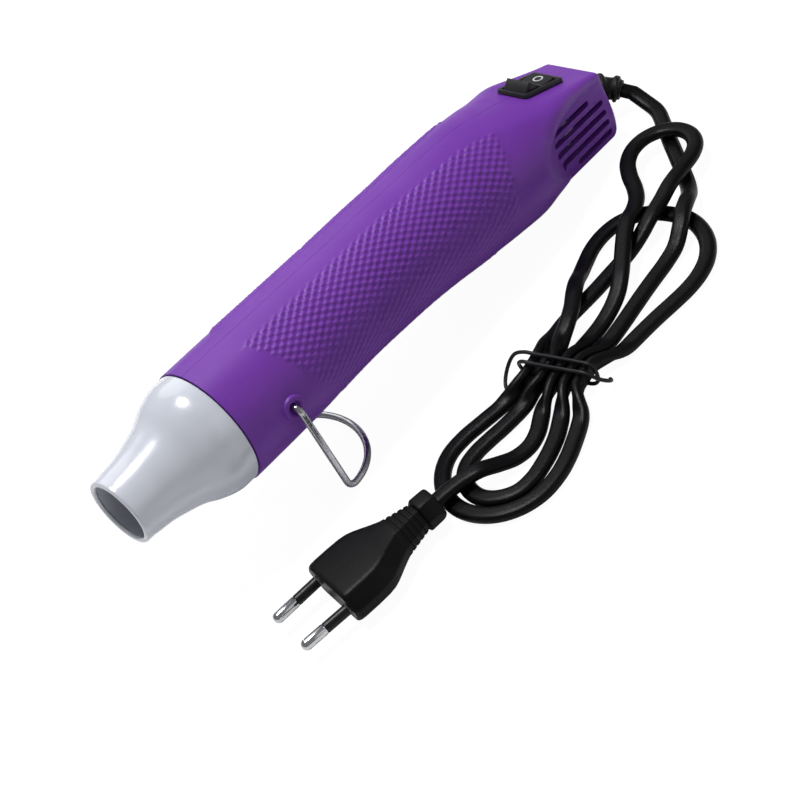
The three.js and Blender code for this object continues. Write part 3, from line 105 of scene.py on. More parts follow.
def evenly(points, step):
    # the same line at equal steps of its own length
    run = runOf(points)
    at = np.linspace(0, run[-1], max(2, int(round(run[-1] / step)) + 1))
    return np.stack([np.interp(at, run, points[:, k]) for k in range(points.shape[1])], -1)


def headings(points):
    # the way a line goes at each point: the slope between its neighbours
    return unit(np.gradient(points, axis=0))


def carriedSides(ways, first):
    # the side vector is carried on from ring to ring, losing only its part along the way
    sides = []
    side = np.asarray(first, float)
    for way in ways:
        side = side - way * (side @ way)
        side = side / np.linalg.norm(side)
        sides.append(side)
    return np.array(sides)


def together(*parts):
    # coordinates, single numbers or arrays, side by side on a last axis
    return np.stack(np.broadcast_arrays(*parts), -1)


def apart(points):
    # the coordinates of points, each as an array of its own
    return np.moveaxis(np.asarray(points, float), -1, 0)


def turnedBy(angle, a, b):
    # a point (a, b) turned by an angle: a cos - b sin, a sin + b cos
    c, s = np.cos(angle), np.sin(angle)
    return a * c - b * s, a * s + b * c


def circle(radius, count):
    # radius times the cosine and sine of evenly spaced angles
    angle = np.arange(count) * 2 * np.pi / count
    return together(radius * np.cos(angle), radius * np.sin(angle))


def swept(section, line, sides):
    # every point is line + across * side + up * (way x side)
    ups = np.cross(headings(line), sides)
    across, up = section[None, :, 0, None], section[None, :, 1, None]
    return line[:, None] + across * sides[:, None] + up * ups[:, None]


def turnedRings(profile, count):
    # a profile of (radius, x) carried round the x axis
    around = circle(1, count)
    radius, x = profile[:, 0, None], profile[:, 1, None]
    return together(x, radius * around[:, 0], radius * around[:, 1])


def betweenRows(rows, parts):
    # each step between two rows cut into equal parts, every number in a straight line
    at = np.linspace(0, len(rows) - 1, (len(rows) - 1) * parts + 1)
    return together(*(np.interp(at, np.arange(len(rows)), column) for column in rows.T))


def newPiece(name, points, faces, uv=None, sharp=40, values=None):
    # faces are arrays of one corner count each; uv has one row for every corner in the same order
    corners = np.concatenate([f.ravel() for f in faces]).astype(np.int32)
    counts = np.concatenate([np.full(len(f), f.shape[1]) for f in faces]).astype(np.int32)
    mesh = bpy.data.meshes.new(name)
    mesh.vertices.add(len(points))
    mesh.vertices.foreach_set("co", np.asarray(points, np.float32).ravel())
    mesh.loops.add(len(corners))
    mesh.loops.foreach_set("vertex_index", corners)
    mesh.polygons.add(len(counts))
    mesh.polygons.foreach_set("loop_start", np.concatenate([[0], np.cumsum(counts)[:-1]]).astype(np.int32))
    if uv is not None:
        mesh.uv_layers.new(name="surface").uv.foreach_set("vector", np.asarray(uv, np.float32).ravel())
    for key, data in (values or {}).items():
        attribute = mesh.attributes.new(key, "FLOAT", "POINT")
        attribute.data.foreach_set("value", np.asarray(data, np.float32).ravel())
    mesh.update(calc_edges=True)
    mesh.validate()
    mesh.shade_smooth()
    mesh.set_sharp_from_angle(angle=math.radians(sharp))
    piece = bpy.data.objects.new(name, mesh)
    bpy.context.scene.collection.objects.link(piece)
    return piece


uvScale = 100  # the piece's own map is in centimetres: along its rings, and round the middle one


def cornersOf(grid):
    # the four corners of every cell between neighbouring rows and columns of a grid
    return np.stack([grid[:-1, :-1], grid[:-1, 1:], grid[1:, 1:], grid[1:, :-1]], 2)


def ringPiece(name, rings, joined=False, sharp=40):
    # a skin over rings of points, its ends closed; joined makes the last ring meet the first instead
    rows, count = rings.shape[:2]
    grid = np.arange(rows * count).reshape(rows, count)
    closed = np.concatenate([grid, grid[:, :1]], 1)
    around = runOf(np.concatenate([rings[rows // 2], rings[rows // 2][:1]]))
    if joined:
        closed = np.concatenate([closed, closed[:1]])
    along = np.arange(rows + 1.0) if joined else runOf(rings.mean(1))
    faces = [cornersOf(closed).reshape(-1, 4)]
    uv = cornersOf(together(along[:, None], around)).reshape(-1, 2) * uvScale
    if not joined:
        faces += [grid[:1, ::-1], grid[-1:]]
        uv = np.concatenate([uv, np.zeros((2 * count, 2))])
    return newPiece(name, rings.reshape(-1, 3), faces, uv=uv, sharp=sharp)


def dress(piece, body, material, slot, *nodes):
    # a finished piece gets its material, rides a body, and stands for the plain nodes that it replaces
    piece.data.materials.clear()
    piece.data.materials.append(material)
    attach(piece, body)
    if nodes:
        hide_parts(*nodes)
    return piece


# Materials

def srgb(red, green, blue):
    # 8-bit screen values to linear light
    c = np.array([red, green, blue]) / 255
    return tuple(np.where(c <= 0.04045, c / 12.92, ((c + 0.055) / 1.055) ** 2.4)) + (1.0,)


class Nodes:
    # a small hand for wiring one material
    def __init__(self, name, **sockets):
        self.material = bpy.data.materials.new(name)
        self.material.use_nodes = True
        self.tree = self.material.node_tree
        self.shader = self.tree.nodes["Principled BSDF"]
        for key, value in sockets.items():
            self.shader.inputs[key.replace("_", " ")].default_value = value

    def new(self, kind, inputs=(), **settings):
        node = self.tree.nodes.new(kind)
        for key, value in settings.items():
            setattr(node, key, value)
        for key, value in dict(inputs).items():
            self.put(node.inputs[key], value)
        return node

    def put(self, socket, value):
        if isinstance(value, bpy.types.NodeSocket):
            self.tree.links.new(value, socket)
        else:
            socket.default_value = value

    def position(self):
        return self.new("ShaderNodeTexCoord").outputs["Object"]

    def noise(self, where, scale, detail):
        values = {"Vector": where, "Scale": scale, "Detail": detail, "Roughness": 0.55}
        return self.new("ShaderNodeTexNoise", values).outputs["Fac"]

    def span(self, value, fromLow, fromHigh, toLow, toHigh):
        node = self.new(
            "ShaderNodeMapRange",
            {"Value": value, "From Min": fromLow, "From Max": fromHigh, "To Min": toLow, "To Max": toHigh},
        )
        return node.outputs[0]

    def blendColour(self, factor, first, second):
        node = self.new("ShaderNodeMix", data_type="RGBA")
        self.put(node.inputs["Factor"], factor)
        self.put(node.inputs["A"], first)
        self.put(node.inputs["B"], second)
        return node.outputs["Result"]

    def bump(self, height, distance):
        return self.new("ShaderNodeBump", {"Height": height, "Distance": distance}).outputs["Normal"]

    def set(self, **links):
        for key, value in links.items():
            self.put(self.shader.inputs[key.replace("_", " ")], value)


def finish(name, light, dark, rough, grain, bumpDistance, patch=60, **sockets):
    # two close tones in soft patches, roughness between two values, and fine grain as bump
    n = Nodes(name, **sockets)
    where = n.position()
    tone = n.noise(where, patch, 2.0)
    speck = n.noise(where, grain, 4.0)
    n.set(
        Base_Color=n.blendColour(n.span(tone, 0.3, 0.7, 0, 1), srgb(*dark), srgb(*light)),
        Roughness=n.span(speck, 0.3, 0.7, *rough),
        Normal=n.bump(speck, bumpDistance),
    )
    return n.material


dull = {"Specular_IOR_Level": 0.22}
bright = {"Metallic": 1.0}

# Camera, lamps and floor

view = {
    "from": (-0.256954, -0.45788, 0.42862),
    "right": (0.6053, -0.6926, -0.3923),
    "up": (0.716, 0.2583, 0.6485),
    "lens": 83.63,
    "sensor": 36.0,
}

camera = bpy.data.objects.new("camera", bpy.data.cameras.new("camera"))
right = Vector(view["right"]).normalized()
upward = Vector(view["up"])
upward = (upward - right * upward.dot(right)).normalized()
turned = Matrix((right, upward, right.cross(upward))).transposed().to_4x4()
camera.matrix_world = Matrix.Translation(view["from"]) @ turned
camera.data.lens = view["lens"]
camera.data.sensor_width = view["sensor"]
camera.data.clip_start = 0.01
camera.data.clip_end = 20
bpy.context.scene.collection.objects.link(camera)
bpy.context.scene.camera = camera
bpy.context.scene.view_settings.view_transform = "Standard"

lamps = {
    "key": {"at": (0.02, 0.2, 1.05), "to": (0.0, -0.02, 0.02), "size": 0.3, "power": 10.5},
    "fill": {"at": (0.35, -1.0, 0.5), "to": (0.0, -0.05, 0.02), "size": 0.9, "power": 1.0},
    "rim": {"at": (0.3, 0.8, 0.7), "to": (0.0, 0.0, 0.03), "size": 0.8, "power": 2.4},
}


def addLamp(name, at, to, size, power):
    # a round area lamp at one point, turned towards another
    lamp = bpy.data.objects.new(name, bpy.data.lights.new(name, "AREA"))
    lamp.data.shape = "DISK"
    lamp.data.size = size
    lamp.data.energy = power
    lamp.location = at
    lamp.rotation_mode = "QUATERNION"
    lamp.rotation_quaternion = (Vector(to) - Vector(at)).to_track_quat("-Z", "Y")
    bpy.context.scene.collection.objects.link(lamp)


for lampName, lampValues in lamps.items():
    addLamp(lampName, **lampValues)

# the room's white light, what the camera sees of it, and the bench
studio = {
    "light": 0.24,
    "seen": 1.0,
    "size": 6.0,
    "depth": -0.0002,
    "tone": 0.86,
    "glow": 1.12,
    "glowShare": 0.85,
}

world = bpy.data.worlds.new("studio")
bpy.context.scene.world = world
world.use_nodes = True
worldTree = world.node_tree
background = worldTree.nodes["Background"]
background.inputs["Color"].default_value = (1, 1, 1, 1)
rays = worldTree.nodes.new("ShaderNodeLightPath")
worldLevel = worldTree.nodes.new("ShaderNodeMapRange")
worldLevel.inputs["To Min"].default_value = studio["light"]
worldLevel.inputs["To Max"].default_value = studio["seen"]
worldTree.links.new(rays.outputs["Is Camera Ray"], worldLevel.inputs["Value"])
worldTree.links.new(worldLevel.outputs[0], background.inputs["Strength"])


def makeFloor():
    # a wide sheet just under the bench plane; to the camera it is nearly white and keeps a soft shadow
    mesh = bpy.data.meshes.new("floor")
    size, depth, tone = studio["size"], studio["depth"], studio["tone"]
    corners = [(-size, -size, depth), (size, -size, depth), (size, size, depth), (-size, size, depth)]
    mesh.from_pydata(corners, [], [(0, 1, 2, 3)])
    floor = bpy.data.objects.new("floor", mesh)
    bpy.context.scene.collection.objects.link(floor)
    n = Nodes("benchTop", Roughness=0.9)
    n.shader.inputs["Base Color"].default_value = (tone, tone, tone, 1)
    n.shader.inputs["Specular IOR Level"].default_value = 0.2
    glow = n.new("ShaderNodeEmission", {"Color": (1, 1, 1, 1), "Strength": studio["glow"]})
    mix = n.new("ShaderNodeMixShader")
    path = n.new("ShaderNodeLightPath")
    n.put(mix.inputs[0], n.span(path.outputs["Is Camera Ray"], 0, 1, 0, studio["glowShare"]))
    n.tree.links.new(n.shader.outputs[0], mix.inputs[1])
    n.tree.links.new(glow.outputs[0], mix.inputs[2])
    n.tree.links.new(mix.outputs[0], n.tree.nodes["Material Output"].inputs["Surface"])
    floor.data.materials.append(n.material)


makeFloor()
print("camera, lamps and floor ready")

# The lead, from the strain relief through the hank to the plug

lead = {
    "width": 6.2,
    "thickness": 4.0,
    "groove": 0.36,  # dip between the two cores
    "grooveWidth": 0.5,
    "layerPitch": 4.45,
    "tie": (130.0, -71.0),  # the hank's waist on the bench
    "heading": math.radians(8),
    "edgeReach": 4.0,
    "flatReach": 19.0,
    "tieLift": 1.9,
    "benchGap": 0.05,
    "endGap": 0.3,
    "step": 4.4,
    "reliefTip": (258.8, -7.0, -14.35),  # tool frame
    "reliefWay": (0.339, -0.87, -0.368),
    "plugFront": (22.6, -56.8),
    "plugHeading": math.radians(-12),
    "plugLength": 45.0,
    "plugHeight": 13.7,
}

# rows of (along the hank, across it, layers over the bench), as in the part's source
leadRows = [
    (132.9, 36.5, 0.54), (129.8, 29.8, 0.13), (123.8, 24.2, 0), (116.5, 18, 0), (108.5, 11, 0),
    (100.5, 4, 0), (94, -1.4, 0.05), (88, -5.6, 0.45), (82.5, -8.2, 1), (76, -10, 1.14), (70, -11.5, 0.8),
    (63.5, -12, 0.2), (56, -11.5, 0), (48, -10.8, 0), (40, -10.2, 0), (32, -9.8, 0), (25, -9.4, 0),
    (18, -8.7, 0), (14, -7.6, 0), (10, -6, 0), (5, -4.9, 0), (0, -4.8, 0), (-5, -4.9, 0), (-10, -6, 0),
    (-14, -7.6, 0), (-18, -9, 0), (-24, -10.9, 0), (-31, -12, 0), (-36, -12.2, 0), (-42, -11.8, 0),
    (-48, -9.5, 0), (-52, -4.5, 0), (-53.5, 1.5, 0), (-52, 7.5, 0), (-48.5, 12, 0), (-43, 14.6, 0),
    (-37, 14.4, 0), (-31, 12.6, 0), (-25, 10.4, 0), (-18, 8.3, 0), (-14, 7.2, 0), (-10, 6.5, 0),
    (-5, 5.1, 0), (0, 4.8, 0), (5, 4.9, 0.05), (10, 6.2, 0.25), (14, 6.9, 0.65), (18, 7.2, 1),
    (22, 7.9, 1.15), (27, 9.5, 1.14), (33, 12.2, 1.1), (39, 15, 0.8), (45, 17.5, 0.25), (51, 19.3, 0),
    (58, 20.2, 0), (65, 19.5, 0), (71.5, 16.8, 0), (76, 12, 0), (78.6, 5.5, 0), (79, -2, 0),
    (77.8, -9.5, 0), (74, -16.5, 0), (68, -22.3, 0), (60.5, -25.8, 0), (53, -26.6, 0), (46, -25.6, 0),
    (39, -23.4, 0), (32, -20.9, 0), (26, -19, 0), (19, -17, 0), (14, -15.6, 0), (10, -12.9, 0), (5, -10, 0),
    (0, -9.6, 0), (-5, -9.8, 0), (-10, -12.6, 0), (-14, -15.3, 0), (-18, -16.6, 0), (-24, -18.1, 0),
    (-31, -19.4, 0), (-38.5, -19.7, 0), (-46.5, -18.1, 0), (-53.5, -13.6, 0), (-58.4, -6.6, 0),
    (-60.2, 2, 0), (-58.7, 10.2, 0), (-54.2, 17.2, 0), (-47.5, 22, 0), (-40, 23.8, 0), (-32, 22.4, 0),
    (-25, 19.6, 0), (-19, 17, 0), (-15, 15.2, 0), (-11, 13.4, 0), (-5, 11.8, 0), (0, 11.5, 0), (6, 11.9, 0),
    (12, 12.9, 0), (19, 13, 0), (26, 12, 0), (33, 10.2, 0), (40, 8.4, 0), (47, 7, 0), (54, 5.6, 0),
    (60, 4, 0.2), (66, 2.5, 0.6), (72, 1.6, 1), (80, 1.2, 1.12), (88, 1.2, 1.27), (96, 0.8, 1.2),
    (104.3, 0.6, 1.08), (110.6, 2.3, 1.05), (115.2, 6.9, 1.03), (116.9, 13.2, 1.03), (115.2, 19.5, 1.03),
    (110.6, 24.1, 1.05), (104.3, 25.8, 1.05), (97.5, 24.3, 1.05), (91, 20, 1.05), (85.5, 15, 1.05),
    (80, 11.2, 1.12), (74, 9, 1.3), (68, 7.6, 1.6), (62, 6, 1.5), (56, 3.8, 1.3), (50, 1.4, 1.08),
    (44, -0.8, 0.85), (38, -2.2, 0.5), (32, -2.4, 0.2), (25, -1.9, 0), (19, -1.2, 0), (14, -0.4, 0),
    (10, 0, 0), (5, 0, 0), (0, 0, 0), (-5, 0, 0), (-10, 0, 0), (-14, -0.1, 0), (-18, -1.2, 0),
    (-24, -3.2, 0), (-30, -3.5, 0), (-36, -1.5, 0.15), (-41, 1.7, 0.55), (-46, 5.3, 1), (-51, 8.8, 1.05),
]

hankAlong = np.array([math.cos(lead["heading"]), math.sin(lead["heading"]), 0])
hankAcross = np.array([-math.sin(lead["heading"]), math.cos(lead["heading"]), 0])
hankMiddle = np.array([*lead["tie"], 0])


def onHank(rows, rise):
    # hank coordinates to bench millimetres: middle + along * a + across * b, at the height rise * c
    rows = np.asarray(rows, float)
    return hankMiddle + rows[:, :1] * hankAlong + rows[:, 1:2] * hankAcross + rows[:, 2:] * [0, 0, rise]


def edgeShare(points):
    # 1 at the tie, where the lead stands on its edge, smoothly 0 where it lies flat
    away = np.abs((points - hankMiddle) @ hankAlong)
    across = np.abs((points - hankMiddle) @ hankAcross)
    t = np.clip((away - lead["edgeReach"]) / (lead["flatReach"] - lead["edgeReach"]), 0, 1)
    return np.where(across > lead["flatReach"], 0, 1 - t * t * (3 - 2 * t))


def leadLine():
    # from the strain relief's tip through the hank to the plug, as the height of the lead's middle
    def fromRelief(distance):
        tip = np.array(lead["reliefTip"]) + unit(np.array(lead["reliefWay"])) * distance
        x, y, z = fromTool(tip) * 1000 - [place["shift"], 0, 0]
        return [x, y, z - lead["thickness"] / 2]

    def fromPlug(distance):
        reach, heading, (x, y) = lead["plugLength"] + distance, lead["plugHeading"], lead["plugFront"]
        height = (lead["plugHeight"] - lead["thickness"]) / 2
        return [x + reach * math.cos(heading), y + reach * math.sin(heading), height]

    near, far = lead["endGap"], lead["endGap"] + lead["step"]
    middle = onHank(leadRows, lead["layerPitch"])
    line = smoothLine(np.concatenate([[fromRelief(far)], middle, [fromPlug(far)]]), 12)
    line = np.concatenate([[fromRelief(near)], line, [fromPlug(near)]])
    share = edgeShare(line)
    half = (lead["thickness"] * (1 - share) + lead["width"] * share) / 2
    line[:, 2] += half + lead["tieLift"] * share + lead["benchGap"]
    return evenly(line, 1.1 if finished else 2.5)


def leadSection(count=28):
    # two round cores side by side, with a shallow groove between them above and below
    half = lead["thickness"] / 2
    core = lead["width"] / 2 - half
    angle = (np.arange(count) + 0.5) * 2 * np.pi / count
    x = np.cos(angle) * half + np.tanh(3 * np.cos(angle)) * core
    z = np.sin(angle) * half
    return together(x, z - np.sign(z) * lead["groove"] * np.exp(-((x / lead["grooveWidth"]) ** 2)))


def leadMaterial():
    # soft black sheath, a little greasy, with faint marks along its run
    n = Nodes("leadSheath", Specular_IOR_Level=0.11)
    uv = n.new("ShaderNodeUVMap", uv_map="surface").outputs[0]
    along = n.new("ShaderNodeMapping", {"Vector": uv, "Scale": (0.6, 9.0, 1.0)}).outputs[0]
    marks = n.noise(along, 9.0, 3.0)
    patches = n.noise(n.position(), 45.0, 2.0)
    n.set(
        Base_Color=n.blendColour(n.span(patches, 0.3, 0.7, 0, 1), srgb(5, 5, 6), srgb(11, 11, 12)),
        Roughness=n.span(marks, 0.3, 0.7, 0.26, 0.38),
        Normal=n.bump(marks, 0.00005),
    )
    return n.material


leadSheath = leadMaterial()
line = leadLine()
flatSide = unit(np.cross([0, 0, 1], headings(line)))
flatUp = np.cross(headings(line), flatSide)
turn = (np.pi / 2 * edgeShare(line))[:, None]
leadSide = flatSide * np.cos(turn) + flatUp * np.sin(turn)
leadPiece = ringPiece("mains_lead", fromBench(swept(leadSection(), line, leadSide)))
dress(leadPiece, "case", leadSheath, "black_rubber", "cord_lead", "cord_hank", "cord_tail")

# The twist tie round the hank

tie = {"radius": 0.7, "sides": 12, "step": 0.8}
tieRows = [
    (-10, 17, 0.85), (-7, 20.5, 1.2), (-2, 21.5, 4), (1.5, 19, 8), (2.1, 14.5, 9.6), (2.1, 9, 9.5),
    (2.1, 0, 9.5), (2, -8, 9.5), (1.9, -12, 9.2), (1.7, -13.7, 7.6), (1.5, -14, 5), (1, -13.7, 2.4),
    (0.6, -12, 1), (0.3, -8, 0.85), (0, 0, 0.85), (-0.4, 9, 0.85), (-0.6, 13.4, 1), (-0.9, 15.3, 2.6),
    (-1.2, 15.6, 5), (-1.6, 15.2, 7.8), (-1.9, 13, 9.5), (-2, 8, 9.5), (-2.1, 0, 9.5), (-2.1, -8, 9.5),
    (-2, -12.4, 9.3), (-1.8, -15, 8), (-1, -17, 6), (0.5, -18.4, 4), (2.5, -18, 2), (3.8, -16.2, 0.9),
]


def roundWire(name, line, radius, sides, first):
    # circles along a line, with both ends domed as quarter circles over one radius
    angle = np.linspace(0, np.pi / 2, 5)[:-1]
    ends = headings(line)[[0, -1]]
    dome = (radius - radius * np.sin(angle))[:, None]
    back, ahead, body = line[0] + ends[0] * dome[::-1], line[-1] - ends[1] * dome, line[2:-2]
    size = radius * np.concatenate([np.cos(angle[::-1]), np.ones(len(body)), np.cos(angle)])[:, None, None]
    steps = np.ones((len(angle), 1))
    ways = np.concatenate([ends[0] * steps, headings(body), ends[1] * steps])
    side = carriedSides(ways, first)[:, None]
    up = np.cross(ways, side[:, 0])[:, None]
    section = circle(1, sides)[None]
    middle = np.concatenate([back, body, ahead])[:, None]
    rings = middle + size * (section[..., :1] * side + section[..., 1:] * up)
    return ringPiece(name, fromBench(rings))


tieCoat = finish("tieCoat", (30, 30, 32), (18, 18, 20), (0.3, 0.46), 900, 0.00004, **dull)
tieLine = evenly(smoothLine(onHank(tieRows, 1.0)), tie["step"])
tiePiece = roundWire("tie_wire", tieLine, tie["radius"], tie["sides"], (0, 0, 1))
dress(tiePiece, "case", tieCoat, "black_plastic", "twist_tie")
print("twist tie made")

# The plug with its pins and sleeves

plug = {
    "width": 30.0,
    "height": 13.7,
    "pinRadius": 2.0,
    "pinLength": 19.0,
    "pinSpacing": 18.6,
    "pinToe": math.radians(1.66),
    "sleeveLength": 9.4,
    "sleeveRadius": 1.95,
    "pinRound": 1.85,
    "neckStart": 0.605,
    "ribPitch": 0.047,
    "ribDepth": 0.34,
    "gap": 0.3,
    "pinCore": 1.2,  # radius of the pin inside its sleeve
    "pinAxis": 0.02,  # radius at the middle of its ends
    "sleeveBore": 1.5,
    "slant": 0.62,  # of the upper side edges, as a share of the height
    "edge": 0.22,  # of the blunt side edge, the same way
    "cornerShare": 0.16,
}

# rows of (share of the length, share of the width, share of the height), with the ribbed neck between the two
plugBody = [
    (0, 0.93, 0.9), (0.01, 0.965, 0.95), (0.03, 0.99, 0.99), (0.07, 1, 1), (0.2, 1, 1), (0.3, 0.985, 1),
    (0.36, 0.95, 1), (0.41, 0.885, 0.99), (0.46, 0.8, 0.965), (0.51, 0.71, 0.94), (0.56, 0.625, 0.915),
    (0.595, 0.57, 0.9),
]
plugCollar = [
    (0.843, 0.4, 0.77), (0.85, 0.435, 0.85), (0.862, 0.445, 0.87), (0.97, 0.435, 0.85), (0.99, 0.42, 0.82),
    (1, 0.38, 0.74),
]


def neckRows():
    # five grooves of one depth across a neck that narrows evenly from the body to the collar
    start = plug["neckStart"] + plug["ribPitch"] * np.arange(5)[:, None]
    along = start + plug["ribPitch"] * np.array([0.0, 0.52, 0.6, 0.92])
    t = (along - plug["neckStart"]) / (5 * plug["ribPitch"])
    deep = plug["ribDepth"] * np.array([0, 0, 1, 1])
    wide = 0.56 + (0.385 - 0.56) * t - deep / (plug["width"] / 2)
    high = 0.9 + (0.74 - 0.9) * t - deep / (plug["height"] / 2)
    return together(along, wide, high).reshape(-1, 3)


def plugRings():
    # a flat six-sided section, blunt at its side edges, quadratic bows for corners, scaled along the plug
    rows = np.concatenate([plugBody, neckRows(), plugCollar])
    if finished:
        rows = betweenRows(rows, 2)
    wide, high = plug["width"] / 2 * rows[:, 1], plug["height"] / 2 * rows[:, 2]
    flat, edge = wide - plug["slant"] * high, plug["edge"] * high
    half = ((wide, -edge), (wide, edge), (flat, high), (0, high), (-flat, high))
    half = np.stack([together(*corner) for corner in half], 1)
    outline = np.concatenate([half, -half], 1)
    a, b = (outline + (np.roll(outline, way, 1) - outline) * plug["cornerShare"] for way in (1, -1))
    t = np.linspace(0, 1, 5)[:, None]
    a, corner, b = a[:, :, None], outline[:, :, None], b[:, :, None]
    section = ((1 - t) ** 2 * a + 2 * t * (1 - t) * corner + t**2 * b).reshape(len(rows), -1, 2)
    return together(rows[:, :1] * lead["plugLength"], section[..., 0], section[..., 1] + plug["height"] / 2)


def fromPlugFrame(points):
    # plug millimetres, x from its face to its lead, to the part's frame
    x, y, z = apart(points)
    x, y = turnedBy(lead["plugHeading"], x, y)
    return fromBench(together(x + lead["plugFront"][0], y + lead["plugFront"][1], z))


def fromPinFrame(points, side):
    # a pin's millimetres, x out of the plug's face and toed in, to the part's frame
    x, y, z = apart(points)
    x, y = turnedBy(side * plug["pinToe"], x, y)
    return fromPlugFrame(together(x - plug["gap"], y + side * plug["pinSpacing"] / 2, z + plug["height"] / 2))


def pinProfile():
    # straight shank, then a rounded nose: radius and x run round a quarter circle
    angle = np.linspace(0, np.pi / 2, 8)
    bow, radius, core, axis = plug["pinRound"], plug["pinRadius"], plug["pinCore"], plug["pinAxis"]
    length, sleeve = plug["pinLength"], -plug["sleeveLength"]
    nose = together(radius - bow + bow * np.sin(angle), bow - length - bow * np.cos(angle))
    shank = [[radius, sleeve - 0.3], [radius - 0.12, sleeve - 0.12], [core, sleeve - 0.1], [core, 0]]
    return np.concatenate([[[axis, -length]], nose, shank, [[axis, 0]]])


def sleeveProfile():
    # a plain tube with one bevelled end
    end, radius, bore, start = -plug["sleeveLength"], plug["sleeveRadius"], plug["sleeveBore"], -0.06
    return np.array([[bore, start], [bore, end], [radius - 0.2, end], [radius, end + 0.2], [radius, start]])


plugSkin = finish("plugSkin", (13, 13, 14), (8, 8, 9), (0.35, 0.49), 1400, 0.00006, Specular_IOR_Level=0.12)
plugPiece = ringPiece("plug_shell", fromPlugFrame(plugRings()), sharp=32)
dress(plugPiece, "case", plugSkin, "black_plastic", "plug_body")
pinMetal = finish("pinMetal", (205, 206, 208), (186, 187, 190), (0.1, 0.22), 700, 0.00002, **bright)
sleeveSkin = finish("sleeveSkin", (26, 26, 28), (18, 18, 20), (0.31, 0.41), 900, 0.00003, **dull)
plugParts = [plugPiece]
for number, side in ((1, -1), (2, 1)):
    pinPiece = ringPiece(f"pin_metal_{number}", fromPinFrame(turnedRings(pinProfile(), 40), side))
    dress(pinPiece, "case", pinMetal, "steel", f"plug_pin_{number}")
    sleeveRings = fromPinFrame(turnedRings(sleeveProfile(), 40), side)[::-1]
    sleevePiece = ringPiece(f"sleeve_{number}", sleeveRings, joined=True)
    dress(sleevePiece, "case", sleeveSkin, "black_plastic", f"pin_sleeve_{number}")
    plugParts += [pinPiece, sleevePiece]
print("plug made")

# The two case shells

case = {
    "radius": 23.0,
    "length": 202.1,
    "wall": 2.2,
    "deckHeight": 4.4,
    "deckSlope": math.radians(16.6),
    "switchBack": 22.7,  # from the rear face to the switch's middle
    "tailHalfWidth": 12.5,
    "tailDrop": 24.4,
    "tailStart": 203.0,
    "rearBulge": 1.7,
    # each side's hollow: middle x, reach ahead of it, middle z, height over it and depth under it
    "hollowPanel": (231.0, 17.5, -8.0, 9.5, 20.0),
    "hollowRim": (217.0, 19.5, -4.5, 15.0, 15.2),
    "hollowSpan": 12.2,  # from the panel out to the rim
    "hollowSteep": 11.0,  # how fast the depth grows across a hollow's wall
    "panelSkin": 0.6,  # the hollow stops this far inside the tail's side
    "seam": 0.05,  # half the gap between the two shells
    "deckSoftPlaces": (196.0, 212.0, 226.0, 243.0),
    "deckRounds": (4.2, 5.5, 5.0, 2.0),
    "rearRound": 1.0,
    "flankRound": 3.0,
    "tailRound": 4.0,
    "rimSoftHeights": (-4.0, 8.0),
    "rimRounds": (1.2, 3.5),
    "footRound": 1.4,
    "panelRound": 1.8,
    "sides": 200,  # steps round each shell, a multiple of 4
    "grip": (63.5, 190.0),  # where the rings stand close together for the studs
    "gripStep": 0.49,
    "swingX": 228.0,  # where the rays start to swing round
    "swingDrop": 8.0,  # and how far the line has come down by then, over the reach named next
    "dropStart": 150.0,
    "dropReach": 70.0,
    "sharp": 66,  # degrees between faces from which an edge stays crisp
}

# rows of (share of the length, radius share, drop share)
barrelRows = np.array([
    (0, 1, 0), (0.085, 1, 0), (0.174, 0.991, 0), (0.243, 0.972, -0.017), (0.312, 0.963, -0.022),
    (0.382, 0.97, -0.013), (0.451, 0.983, 0), (0.52, 1.004, 0.035), (0.58, 1.039, 0.07),
    (0.64, 1.065, 0.109), (0.7, 1.083, 0.148), (0.758, 1.083, 0.187), (0.797, 1.05, 0.18),
    (0.822, 1.045, 0.155), (0.847, 1.043, 0.104), (0.871, 1.022, 0.026), (0.906, 1, 0),
])
flankRows = np.array([
    (190, 30), (204, 23.6), (215, 20.3), (225, 17.4), (235, 14.6), (245, 12.4), (250, 12.0),
])
rearRows = np.array([(0, -0.012), (0.17, 0.17), (0.65, 1), (0.83, 0.88), (1, -0.59)])
denseBarrel = smoothLine(barrelRows)
denseRear = smoothLine(rearRows)
denseFlank = smoothLine(flankRows)


def softMost(a, b, k):
    # the larger of two, with their meeting rounded over k
    h = np.clip(0.5 + 0.5 * (a - b) / k, 0, 1)
    return b + (a - b) * h + k * h * (1 - h)


def softLeast(a, b, k):
    # the smaller of two, with their meeting rounded over k
    return -softMost(-a, -b, k)


def barrelAt(x):
    # radius of the barrel and the drop of its middle, from the smoothed rows
    share = (x - place["caseStart"]) / case["length"]
    radius = case["radius"] * np.interp(share, denseBarrel[:, 0], denseBarrel[:, 1])
    drop = case["radius"] * np.interp(share, denseBarrel[:, 0], denseBarrel[:, 2])
    return radius, drop


def deckZ(x):
    # height of the deck: a straight slope up from the rear face
    return case["deckHeight"] + (place["rearX"] - x) * math.tan(case["deckSlope"])


